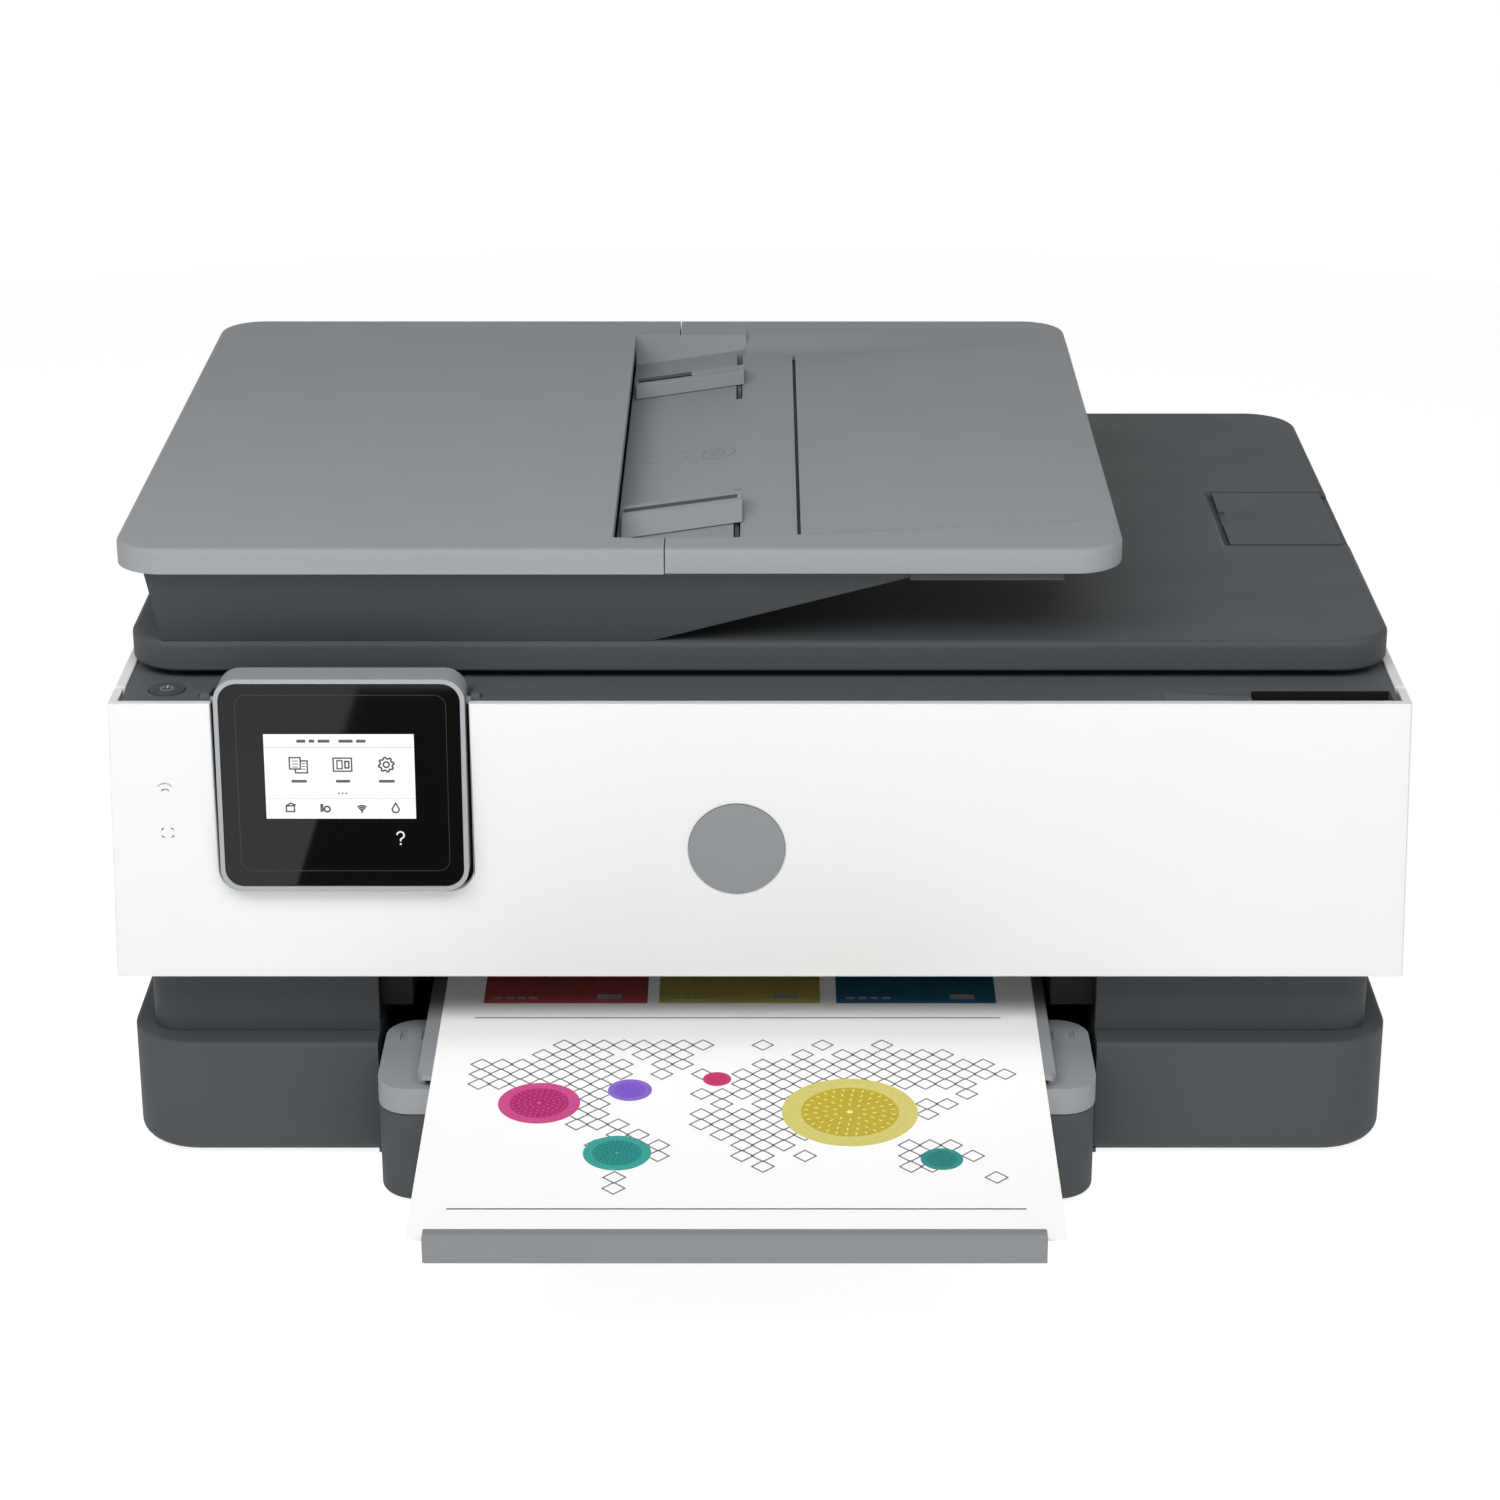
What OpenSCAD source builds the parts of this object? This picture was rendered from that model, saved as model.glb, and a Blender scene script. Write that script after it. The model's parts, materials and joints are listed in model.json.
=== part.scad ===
// All-in-one inkjet printer with a document feeder, a tilting touch panel,
// a drop-down front door, a paper drawer and a sliding output tray.
// The modules work in "front coordinates": y = 0 is the outer face of the
// front door, +Y runs to the back, x = 0 is the middle and z = 0 the table.
// placed() then shifts a node so that the origin is the centre of the footprint.

/* [Case] */
// Width of the outer panels at their lower edge
case_w = 460; // [450:1:470]
// Width of the outer panels at their upper edge
case_top_w = 453.5; // [448:0.5:456]
// Width of the dark base
base_w = 459; // [450:1:462]
// How far the base front sits behind the door face
base_front_y = 6.2; // [4:0.2:10]
// Outer face of the rear panel
rear_y = 306; // [300:1:308]
// Height of the rubber feet
foot_h = 1.6; // [1:0.2:3]
// Top of the dark base
base_top_z = 46.3; // [44:0.1:48]
// Wall thickness of the moulded covers
wall = 2.5; // [2:0.1:3]

/* [Front door] */
// Lower edge of the door
door_z0 = 75.6; // [75:0.1:77]
// Upper edge of the door
door_z1 = 180.3; // [179:0.1:182]
// Thickness of the door skin
door_t = 3; // [2:0.1:3.4]
// Height of the hinge axis
door_axis_z = 79.7; // [79.5:0.1:80]
// Distance of the hinge axis behind the door face
door_axis_y = 7.6; // [7.4:0.1:7.8]

/* [Control panel] */
// Left side of the touch panel housing
panel_x0 = -190; // [-192:0.5:-188]
// Width of the touch panel housing
panel_w = 87.4; // [84:0.2:88]
// Lower edge of the housing
panel_z0 = 110.8; // [108:0.2:114]
// Upper edge of the housing
panel_z1 = 188.8; // [186:0.2:190]
// Backward lean of the panel face, in degrees
panel_lean = 3.5; // [0:0.5:5]

/* [Scanner lid] */
// Width of the lid
lid_w = 448.4; // [440:0.2:450]
// Front edge of the lid
lid_y0 = 25.8; // [24:0.2:30]
// Back edge of the lid and of the feeder above it
lid_y1 = 309.6; // [308:0.2:312]
// Underside of the lid
lid_z0 = 182.6; // [182:0.1:184]
// Top of the lid
lid_z1 = 193.9; // [192:0.1:196]

/* [Document feeder] */
// Left side of the feeder
feeder_x0 = -224.2; // [-226:0.2:-220]
// Right side of the feeder
feeder_x1 = 126.3; // [124:0.2:130]
// Front edge of the feeder
feeder_y0 = 8.7; // [8:0.1:12]
// Top of the feeder, which is the height of the printer
feeder_z1 = 234; // [232:0.2:236]
// Height of the feeder rim
rim_h = 9.2; // [9:0.1:10]
// Joint between the feeder cover and the feeder tray
seam_x = -33; // [-34:0.2:-32]

/* [Paper trays] */
// Middle of the paper path
tray_x = -8.2; // [-9:0.1:-7]
// Width of the paper drawer
tray_w = 255.6; // [254:0.2:257]
// Front face of the paper drawer, in front of the door face
tray_front = 31; // [28:0.5:34]
// Front face of the end stop of the extension
stop_front = 146.8; // [140:0.2:150]
// Slope of the output tray, in degrees
tray_slope = 2.23; // [1.5:0.01:3]
// Width of the printed sheet
sheet_w = 216; // [210:1:216]
// Length of the printed sheet
sheet_l = 279.4; // [270:0.1:285]

/* [Hidden] */

$fn = 48;
gap = 0.4;                                 // clearance beside a moving cover
y_mid = (lid_y1 - stop_front) / 2;         // middle of the footprint, from the door face

// colours
pale = "#f2f4f3";
dark = "#4a4e52";
grey = "#8b9093";
black = "#17181a";
steel = "#b9bdc0";
board_green = "#2c6b45";
foam_white = "#eef0f0";

// base and drawer bay
base_r = 24;
bay_x0 = tray_x - tray_w / 2 - 2.6;
bay_x1 = tray_x + tray_w / 2 + 2.6;
bay_floor = 1.6;                           // thickness of the floor below the drawer
bay_y1 = 303;

// dark inner frame
frame_half = 222;
fascia_y = 17;
fascia_t = 2.5;
frame_top = 176.6;
deck_z = 179.6;
chute_x0 = -127.3;                         // sides of the paper exit
chute_x1 = 106.5;
chute_y0 = 27;
chute_z = 51.8;                            // underside of the cheeks beside the exit
chute_top = 78.5;
exit_top_z = 76;
access_x0 = -95;                           // window behind the door, for the cartridges
access_x1 = 213;
access_z0 = 86;
access_z1 = 170;

// outer skin
skin = 3.6;
return_y = 15.2;                           // depth of the sides of the door

// top deck
button_x = -208.4;
button_y = 15.8;
button_r = 6.35;
grip_x0 = 172.3;
grip_x1 = 221;
grip_y1 = 15;
glass_x = 157;
glass_y0 = 54;
glass_y1 = 280;
strip_x0 = -190;
strip_x1 = -168;
deck_y1 = 288;                             // the deck steps down behind this line

// plain round badge
badge_x = -8.2;
badge_z = 125.5;
badge_r = 17;

// control panel pivot and display
screen_x = [-173.1, -120.6];
screen_z = [137.6, 168.8];
tilt_y = 9.5;
tilt_z = 178.1;
panel_x1 = panel_x0 + panel_w;
panel_r = 8;

// lid hinge
lid_axis_y = 301;
lid_axis_z = 186;
lid_r = 20;
post_x = 150;
post_w = 10;

// document stop on the lid
stop_x0 = 177.7;
stop_y0 = 134;
stop_y1 = 197.2;
stop_t = 2;
stop_axis_x = 220.5;
stop_axis_z = lid_z1 - 1.1;

// document feeder
feeder_r = 17;
rim_z = feeder_z1 - rim_h;
pocket_x0 = -51.3;                         // right edge of the cover over the feed slot
pocket_x1 = -5.6;
pocket_y0 = 20.7;
pocket_y1 = 286.6;
channel_y0 = 42;
channel_y1 = 276;
channel_x = 13.2;                          // left end of the flip-out extension
hinge_x = 121.5;                           // pivot of the flip-out extension
support_z = 228.2;                         // height of the sheet support
feed_edge_z = 221.4;                       // where the support meets the feed slot
flip_z = feeder_z1 - 2.2;                  // pivot height of the flip-out extension
guide_mid_y = 155;
guide_gap = 77.5;                            // half the distance between the guides
guide_block = 22;
cover_axis_x = -218.5;
cover_axis_z = 227.4;
ramp_x0 = -38;
ramp_x1 = 63;

// racks and pinions
tooth_module = 0.8;
pinion_teeth = 20;
pinion_x = -24;
rack_z = [216.6, 218.8];
guide_foot_x = [-9, -7.4];                 // the feet of both guides, at the right of the pocket

// paper path in the case
feed_y = 155;
feed_z = 68;
exit_y = 84;
feed_teeth = 30;
motor_teeth = 12;
gear_x0 = -156;
gear_x1 = -149;
motor_y = feed_y + (feed_teeth + motor_teeth) * tooth_module / 2;
pick_y = 215;
pick_z = 41;

// carriage
carriage_x = 150;
carriage_w = 96;
carriage_y0 = 74;
carriage_y1 = 148;
belt_z = 114;
pulley_r = 7;
belt_x = 203;

// scanner
head_x = -179;
head_w = 22;
rail_y = 167;
rail_z = 159;

// output tray, seen along its slope
wing_z0 = 36.1;
wing_z1 = 46.5;
wing_y1 = 25;
plate_t = 2;
sheet_t = 0.3;
plate_y1 = 137;                            // back end of the output tray
sheet_front_z = 47.2;                      // height of the sheet at its front edge
sheet_y0 = -stop_front + 6;

// ---------------------------------------------------------------- helpers

// moves a node from front coordinates to the centre of the footprint
module placed() {
  translate([0, -y_mid, 0]) children();
}

// box between two corners
module block(x, y, z) {
  translate([x[0], y[0], z[0]]) cube([x[1] - x[0], y[1] - y[0], z[1] - z[0]]);
}

// rectangle with its own radius at each corner: front left, front right, back right, back left
module rounded(x, y, r) {
  polygon([
    [x[0], y[0] + r[0]], [x[0] + r[0], y[0]], [x[1] - r[1], y[0]], [x[1], y[0] + r[1]],
    [x[1], y[1] - r[2]], [x[1] - r[2], y[1]], [x[0] + r[3], y[1]], [x[0], y[1] - r[3]]]);
  corners = [[x[0] + r[0], y[0] + r[0]], [x[1] - r[1], y[0] + r[1]],
             [x[1] - r[2], y[1] - r[2]], [x[0] + r[3], y[1] - r[3]]];
  for (i = [0:3]) if (r[i] > 0) translate(corners[i]) circle(r[i], $fn = 96);
}

// plate with rounded corners in plan
module slab(x, y, z, r) {
  translate([0, 0, z[0]]) linear_extrude(z[1] - z[0]) rounded(x, y, r);
}

// extrudes a (y, z) outline along X
module along_x(x) {
  translate([x[0], 0, 0]) rotate([90, 0, 90]) linear_extrude(x[1] - x[0]) children();
}

// extrudes an (x, z) outline along Y
module along_y(y) {
  translate([0, y[1], 0]) rotate([90, 0, 0]) linear_extrude(y[1] - y[0]) children();
}

module rod_x(x, y, z, r) {
  translate([x[0], y, z]) rotate([0, 90, 0]) cylinder(r = r, h = x[1] - x[0]);
}

module rod_y(x, y, z, r) {
  translate([x, y[0], z]) rotate([-90, 0, 0]) cylinder(r = r, h = y[1] - y[0]);
}

module rod_z(x, y, z, r) {
  translate([x, y, z[0]]) cylinder(r = r, h = z[1] - z[0]);
}

function all4(r) = [r, r, r, r];
function front2(r) = [r, r, 0, 0];

// outline of a spur gear, with a tooth pointing along +X
module gear_outline(teeth) {
  pitch_r = teeth * tooth_module / 2;
  tip_r = pitch_r + 0.75 * tooth_module;
  root_r = pitch_r - 1.1 * tooth_module;
  step = 360 / teeth;
  flanks = [[root_r, -0.34], [tip_r, -0.12], [tip_r, 0.12], [root_r, 0.34]];
  polygon([for (i = [0:teeth - 1]) for (p = flanks)
    p[0] * [cos((i + p[1]) * step), sin((i + p[1]) * step)]]);
}

// outline of a toothed rack along +Y, with its teeth on the +X side of x = 0
module rack_outline(length, back) {
  pitch = PI * tooth_module;
  teeth = floor(length / pitch);
  polygon(concat(
    [[-back, 0]],
    [for (i = [0:teeth - 1]) for (p = [[-1.1, 0.16], [0.75, 0.38], [0.75, 0.62], [-1.1, 0.84]])
      [p[0] * tooth_module, (i + p[1]) * pitch]],
    [[-back, teeth * pitch]]));
}

// belt round two equal pulleys, drawn round (x0, y) and (x1, y)
module belt_outline(x0, x1, y, r, t) {
  difference() {
    union() {
      for (x = [x0, x1]) translate([x, y]) circle(r + t);
      translate([x0, y - r - t]) square([x1 - x0, 2 * (r + t)]);
    }
    for (x = [x0, x1]) translate([x, y]) circle(r);
    translate([x0, y - r]) square([x1 - x0, 2 * r]);
  }
}

// ---------------------------------------------------------------- base

module base_case() {
  inner = base_w / 2 - wall;
  color(dark) difference() {
    slab([-base_w / 2, base_w / 2], [base_front_y, rear_y], [foot_h, base_top_z],
         [base_r, base_r, 10, 10]);
    // drawer bay
    block([bay_x0, bay_x1], [base_front_y - 1, bay_y1], [foot_h + bay_floor, base_top_z + 1]);
    // hollow of each side block, narrower at the top so that a ledge remains
    for (x = [[-inner, bay_x0 - wall], [bay_x1 + wall, inner]])
      slab(x, [base_front_y + wall, rear_y - wall], [foot_h + wall, base_top_z - wall],
           all4(8));
    for (x = [[-frame_half + 4, bay_x0 - wall - 2], [bay_x1 + wall + 2, frame_half - 4]])
      block(x, [24, 296], [base_top_z - wall - 1, base_top_z + 1]);
  }
}

module feet() {
  color(black) for (x = [-200, 200], y = [40, 280])
    slab([x - 14, x + 14], [y - 8, y + 8], [0, foot_h], all4(6));
}

// ---------------------------------------------------------------- inner frame

module inner_frame() {
  y = [fascia_y, fascia_y + fascia_t];
  ear_r = 4;
  color(dark) {
    difference() {
      slab([-frame_half, frame_half], [fascia_y, 300], [base_top_z, frame_top], front2(10));
      slab([-frame_half + fascia_t, frame_half - fascia_t], [y[1], 301], [base_top_z - 1, frame_top + 1],
           front2(7.5));
      // paper exit
      block([bay_x0, bay_x1], [fascia_y - 1, y[1] + 1], [base_top_z - 1, exit_top_z]);
      // access window
      slab_xz([access_x0, access_x1], [fascia_y - 1, y[1] + 1], [access_z0, access_z1], 6);
      // room for the power button, and for the step at the back of the deck
      block([button_x - 8, button_x + 8], [fascia_y - 1, y[1] + 4], [168, frame_top + 1]);
      block([-frame_half - 1, frame_half + 1], [deck_y1 - 3.2, 301], [171.8, frame_top + 1]);
    }
    // ears that carry the door pins
    for (x = [[-209, -204], [204, 209]]) difference() {
      union() {
        rod_x(x, door_axis_y, door_axis_z, ear_r);
        block(x, [door_axis_y, fascia_y + 1], [door_axis_z - ear_r, door_axis_z + ear_r]);
      }
      rod_x([x[0] - 1, x[1] + 1], door_axis_y, door_axis_z, 2.05);
    }
  }
}

// upright plate with rounded corners, seen from the front
module slab_xz(x, y, z, r) {
  along_y(y) rounded(x, z, all4(r));
}

module rear_panel() {
  vent_w = 2.4;
  color(dark) difference() {
    slab_xz([-225.8, 225.8], [rear_y - 3, rear_y], [base_top_z + 0.1, 175], 4);
    // windows for the sockets
    block([-206, -148], [rear_y - 4, rear_y + 1], [117.5, 138]);
    block([149.6, 176.4], [rear_y - 4, rear_y + 1], [57.6, 76.4]);
    // cooling slots
    for (i = [0:15]) block([60 + i * 6, 60 + i * 6 + vent_w], [rear_y - 4, rear_y + 1], [120, 150]);
    for (x = screw_x, z = screw_z) rod_y(x, [rear_y - 4, rear_y + 1], z, 1.6);
  }
}

screw_x = [-216, 0, 216];
screw_z = [56, 165];

module case_screws() {
  color(steel) for (x = screw_x, z = screw_z) difference() {
    union() {
      rod_y(x, [rear_y - 5, rear_y], z, 1.5);
      rod_y(x, [rear_y, rear_y + 1.6], z, 3);
    }
    // cross recess
    for (a = [0, 90]) translate([x, rear_y + 1.6, z]) rotate([0, a, 0])
      cube([3.4, 2, 0.7], center = true);
  }
}

// outer side panel: leans out towards its lower edge
module side_panel(side) {
  top = case_top_w / 2;
  low = case_w / 2;
  color(pale) along_y([return_y + 2, rear_y - 3.2]) polygon([
    [side * (low - skin), door_z0], [side * low, door_z0],
    [side * top, door_z1], [side * (top - skin), door_z1]]);
}

module side_panel_left() {
  side_panel(-1);
}

module side_panel_right() {
  side_panel(1);
}

// ---------------------------------------------------------------- top deck and scanner

module top_deck() {
  half = case_top_w / 2 - skin - 0.15;
  well_x = [panel_x0 - 2.5, panel_x1 + 1.6];
  color(dark) difference() {
    union() {
      block([-half, half], [door_t + 0.5, deck_y1], [frame_top, deck_z]);
      block([-half, half], [deck_y1 - 3, rear_y - 3.2], [172, 175]);
      block([-half, half], [deck_y1 - 3, deck_y1], [172, frame_top + 1]);
      // lugs beside the control panel
      for (x = [[well_x[0] - 3, well_x[0]], [well_x[1], well_x[1] + 3]]) {
        rod_x(x, tilt_y, tilt_z, 3);
      }
      // tub below the finger grip
      block([grip_x0 - 1.5, grip_x1 + 1.5], [door_t + 0.5, grip_y1 + 1.5], [168.5, frame_top + 1]);
    }
    // control panel well and button hole
    block(well_x, [0, 18.6], [frame_top - 5, deck_z + 6]);
    rod_z(button_x, button_y, [frame_top - 1, deck_z + 1], button_r + 0.3);
    // finger grip, with a ramp that leads into it
    block([grip_x0, grip_x1], [door_t, grip_y1], [170, deck_z + 1]);
    along_y([door_t, grip_y1 - 2]) polygon([
      [grip_x0 - 32, deck_z], [grip_x0 - 32, deck_z + 1], [grip_x0 + 1, deck_z + 1],
      [grip_x0 + 1, deck_z - 1.6]]);
    // windows and ledges of the two glasses
    for (x = [[-glass_x, glass_x], [strip_x0, strip_x1]]) {
      block([x[0] - 0.2, x[1] + 0.2], [glass_y0 - 0.2, glass_y1 + 0.2], [deck_z - 2, deck_z + 1]);
      block([x[0] + 3, x[1] - 3], [glass_y0 + 3, glass_y1 - 3], [frame_top - 1, deck_z]);
    }
    // pivot holes of the control panel
    rod_x([well_x[0] - 4, well_x[1] + 4], tilt_y, tilt_z, 1.55);
  }
}

// two posts behind the glass, with the pivot holes of the lid
module lid_hinge_posts() {
  color(dark) for (x = [-post_x, post_x]) difference() {
    union() {
      block([x - post_w / 2, x + post_w / 2], [lid_axis_y - 4, lid_axis_y + 1.7], [175, lid_axis_z]);
      rod_x([x - post_w / 2, x + post_w / 2], lid_axis_y, lid_axis_z, 4);
    }
    rod_x([x - post_w, x + post_w], lid_axis_y, lid_axis_z, 2.55);
  }
}

module scanner_glass() {
  color("#9fb4b8", 0.4) for (x = [[-glass_x, glass_x], [strip_x0, strip_x1]])
    block(x, [glass_y0, glass_y1], [deck_z - 2, deck_z + 0.4]);
}

module scanner_tub() {
  x = [-204, 184];
  y = [40, 284];
  color(black) {
    difference() {
      block(x, y, [153, frame_top]);
      block([x[0] + 2, x[1] - 2], [y[0] + 2, y[1] - 2], [155, frame_top + 1]);
    }
  }
}

module scan_rail() {
  color(steel) rod_x([-202, 182], rail_y, rail_z, 3);
}

module scan_head() {
  color(black) difference() {
    union() {
      block([head_x - head_w / 2, head_x + head_w / 2], [glass_y0 + 4, glass_y1 - 4], [164.5, 175]);
      block([head_x - head_w / 2, head_x + head_w / 2], [rail_y - 9, rail_y + 9], [155.4, 165]);
    }
    // slot of the rod lens and bore for the rail
    block([head_x - 2, head_x + 2], [glass_y0 + 8, glass_y1 - 8], [172, 176]);
    rod_x([head_x - head_w, head_x + head_w], rail_y, rail_z, 3.08);
  }
}

// ---------------------------------------------------------------- print engine

module print_rail() {
  color(steel) difference() {
    union() {
      block([-219.5, 219.5], [160, 162], [86, 140]);
      block([-219.5, 219.5], [151, 161], [86, 88]);
      block([-219.5, 219.5], [151, 161], [138, 140]);
    }
    rod_y(-belt_x, [158, 164], belt_z, 5);
  }
  // pin of the idler pulley
  color(steel) rod_y(belt_x, [150.5, 160.5], belt_z, 1.5);
}

module encoder_strip() {
  color("#d8dcd0", 0.6) block([-219.5, 219.5], [155, 155.4], [143, 149]);
}

module carriage_belt() {
  color(black) along_y([152.5, 157.5]) belt_outline(-belt_x, belt_x, belt_z, pulley_r + 0.05, 1.2);
}

// flanged pulley of the carriage belt, with a small index mark on its rim
module belt_pulley(x) {
  color(steel) difference() {
    union() {
      rod_y(x, [152, 158], belt_z, pulley_r);
      rod_y(x, [158, 159.4], belt_z, pulley_r + 1.6);
    }
    rod_y(x, [151, 160], belt_z, 1.56);
    rod_y(x + 4.4, [151, 153], belt_z, 1);
  }
}

module drive_pulley() {
  belt_pulley(-belt_x);
}

module idler_pulley() {
  belt_pulley(belt_x);
}

module carriage() {
  x = [carriage_x - carriage_w / 2, carriage_x + carriage_w / 2];
  slot = (carriage_w - 4) / 4;
  color(black) difference() {
    union() {
      block(x, [carriage_y0, carriage_y1], [80, 128]);
      // back wall that carries the belt clip and the sliding shoes
      block(x, [carriage_y1 - 3, carriage_y1], [80, 145]);
      block([x[0] + 30, x[1] - 30], [carriage_y1 - 1, carriage_y1 + 4], [123, 131]);
      for (z = [89, 131]) block([x[0] + 6, x[1] - 6], [carriage_y1 - 1, 159.4], [z, z + 6]);
    }
    // one slot for each cartridge
    for (i = [0:3]) block([x[0] + 2 + i * slot + 0.5, x[0] + 2 + (i + 1) * slot - 0.5],
                          [carriage_y0 - 1, carriage_y1 - 6], [86, 129]);
    // the belt and the idler pass behind the carriage
    block([x[0] - 1, x[1] + 1], [151.5, 159.8], [104, 122.8]);
  }
}

module ink_cartridges() {
  x0 = carriage_x - carriage_w / 2 + 2;
  slot = (carriage_w - 4) / 4;
  color(black) for (i = [0:3]) {
    x = [x0 + i * slot + 0.9, x0 + (i + 1) * slot - 0.9];
    slab(x, [carriage_y0 - 2, carriage_y1 - 6.5], [86.1, 134], all4(2));
    // thumb tab
    block([x[0] + 3, x[1] - 3], [carriage_y0 - 8, carriage_y0 - 1], [128, 131]);
  }
}

// side walls of the exit and the platen between them
module paper_chute() {
  foot_t = 2.2;
  x0 = bay_x0 - foot_t - 0.2;
  x1 = bay_x1 + foot_t + 0.2;
  color(black) difference() {
    union() {
      block([x0, chute_x0], [chute_y0, 210], [chute_z, chute_top]);
      block([chute_x1, x1], [chute_y0, 210], [chute_z, chute_top]);
      block([x0, x0 + foot_t], [chute_y0, 210], [base_top_z, chute_z + 1]);
      block([x1 - foot_t, x1], [chute_y0, 210], [base_top_z, chute_z + 1]);
      block([chute_x0 - 1, chute_x1 + 1], [93, 145], [67, 71]);
      for (i = [0:14]) block([chute_x0 + 6 + i * 15.5, chute_x0 + 8 + i * 15.5], [93, 145], [70, 73.5]);
    }
    for (y = [feed_y, exit_y]) rod_x([x0 - 1, bay_x1 - 2.5], y, feed_z, 3.06);
  }
}

module feed_roller() {
  color("#6d7072") {
    rod_x([gear_x0 - 1, bay_x1 - 3], feed_y, feed_z, 3);
    rod_x([chute_x0 + 1, chute_x1 - 1], feed_y, feed_z, 5.5);
    rod_x([-147.5, -142], feed_y, feed_z, 6);
    along_x([gear_x0, gear_x1]) translate([feed_y, feed_z]) gear_outline(feed_teeth);
  }
}

module motor_pinion() {
  color(steel) difference() {
    along_x([gear_x0, gear_x1 + 1]) translate([motor_y, feed_z]) rotate(180 / motor_teeth)
      gear_outline(motor_teeth);
    rod_x([gear_x0 - 1, gear_x1 + 3], motor_y, feed_z, 1.56);
  }
}

module exit_roller() {
  color("#6d7072") {
    rod_x([-148, bay_x1 - 3], exit_y, feed_z, 3);
    rod_x([-147.5, -142], exit_y, feed_z, 6);
    for (i = [0:6]) rod_x([-112 + i * 33, -100 + i * 33], exit_y, feed_z, 5);
  }
}

module transport_belt() {
  color(black) along_x([-147, -142.5]) belt_outline(exit_y, feed_y, feed_z, 6.05, 1);
}

// motor of the paper path and motor of the carriage
module drive_motors() {
  color(steel) {
    rod_x([-196, -160], motor_y, feed_z, 14);
    rod_x([-160, gear_x1 + 2], motor_y, feed_z, 1.5);
    block([-190, -166], [motor_y - 12, motor_y + 12], [base_top_z, feed_z - 8]);
    rod_y(-belt_x, [162, 198], belt_z, 14);
    rod_y(-belt_x, [150.5, 163], belt_z, 1.5);
  }
}

module pickup_arm() {
  beam_y = [246, 254];
  color(black) {
    for (x = [-32, 10]) difference() {
      union() {
        rod_x([x, x + 4], pick_y, pick_z, 5);
        along_x([x, x + 4]) polygon([[pick_y - 5, pick_z], [pick_y + 5, pick_z],
                                     [pick_y + 39, 57], [pick_y + 31, 57]]);
      }
      rod_x([x - 1, x + 5], pick_y, pick_z, 2.06);
    }
    block([bay_x0 - 8, bay_x1 + 8], beam_y, [55, 58]);
    for (x = [[bay_x0 - 8, bay_x0 - 1], [bay_x1 + 1, bay_x1 + 8]]) block(x, beam_y, [base_top_z, 56]);
  }
}

module pickup_roller() {
  color("#5b5e60") {
    rod_x([-33, 15], pick_y, pick_z, 2);
    for (x = [-27, -5]) rod_x([x, x + 14], pick_y, pick_z, 10);
  }
}

// turns the sheet from the drawer up to the platen
module rear_paper_guide() {
  turn_y = 262;
  turn_z = 46;
  color(black) intersection() {
    difference() {
      rod_x([-124, 104], turn_y, turn_z, 38);
      rod_x([-125, 105], turn_y, turn_z, 35);
    }
    block([-124, 104], [turn_y + 4, 302], [6, 86]);
  }
  // ribs that fix it to the rear panel
  color(black) for (x = [-90, 70]) block([x - 1.5, x + 1.5], [296, 303], [48, 62]);
}

module service_station() {
  color(dark) difference() {
    block([126, 208], [78, 146], [base_top_z, 76]);
    block([128.5, 205], [81, 143], [60, 77]);
  }
  color("#5b5e60") for (i = [0:3]) block([132 + i * 18, 145 + i * 18], [92, 132], [59.5, 78]);
}

module main_board() {
  color(board_green) {
    block([-219.5, -142], [204, 298], [116, 117.6]);
    // processor, capacitors and connectors
    block([-190, -170], [215, 235], [117.6, 120]);
    for (i = [0:3]) rod_z(-206 + i * 12, 254, [117.6, 128], 4);
    block([-160, -148], [210, 250], [117.6, 124]);
    block([-212, -198], [210, 240], [117.6, 123]);
  }
}

// network and data sockets on the back edge of the board
module port_block() {
  color(black) difference() {
    union() {
      block([-204, -188], [284, 305.6], [117.7, 132]);
      block([-178, -164], [284, 305.6], [117.7, 130]);
    }
    block([-202, -190], [292, 307], [119.5, 130]);
    block([-176, -166], [292, 307], [119.5, 128]);
  }
}

module power_supply() {
  color("#7d8184") {
    block([132, 214], [175, 282], [base_top_z, 96]);
    // mains inlet
    difference() {
      block([150, 176], [282, 305.6], [58, 76]);
      slab_xz([152, 174], [292, 307], [60, 74], 6.9);
    }
    for (x = [159, 167]) rod_y(x, [290, 303], 67, 1.2);
  }
}

// ---------------------------------------------------------------- front door

module door_outline(inset, z) {
  slope = (case_w - case_top_w) / 2 / (door_z1 - door_z0);
  low = case_w / 2 - (z[0] - door_z0) * slope - inset;
  top = case_w / 2 - (z[1] - door_z0) * slope - inset;
  polygon([[-low, z[0]], [low, z[0]], [top, z[1]], [-top, z[1]]]);
}

// opening round the control panel, as an (x, z) outline
module panel_cutout(margin) {
  rounded([panel_x0 - margin, panel_x1 + margin], [panel_z0 - margin, door_z1 + 20], front2(panel_r));
}

module front_door() {
  color(pale) {
    difference() {
      along_y([0, door_t]) difference() {
        door_outline(0, [door_z0, door_z1]);
        panel_cutout(1.3);
      }
      // seat of the badge
      rod_y(badge_x, [-1, 0.6], badge_z, badge_r + 0.05);
    }
    // sides
    for (side = [-1, 1]) along_y([door_t - 0.5, return_y]) polygon([
      [side * (case_w / 2 - door_t), door_z0], [side * case_w / 2, door_z0],
      [side * case_top_w / 2, door_z1], [side * (case_top_w / 2 - door_t), door_z1]]);
  }
}

module door_badge() {
  color(grey) rod_y(badge_x, [-0.5, 0.6], badge_z, badge_r);
}

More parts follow.
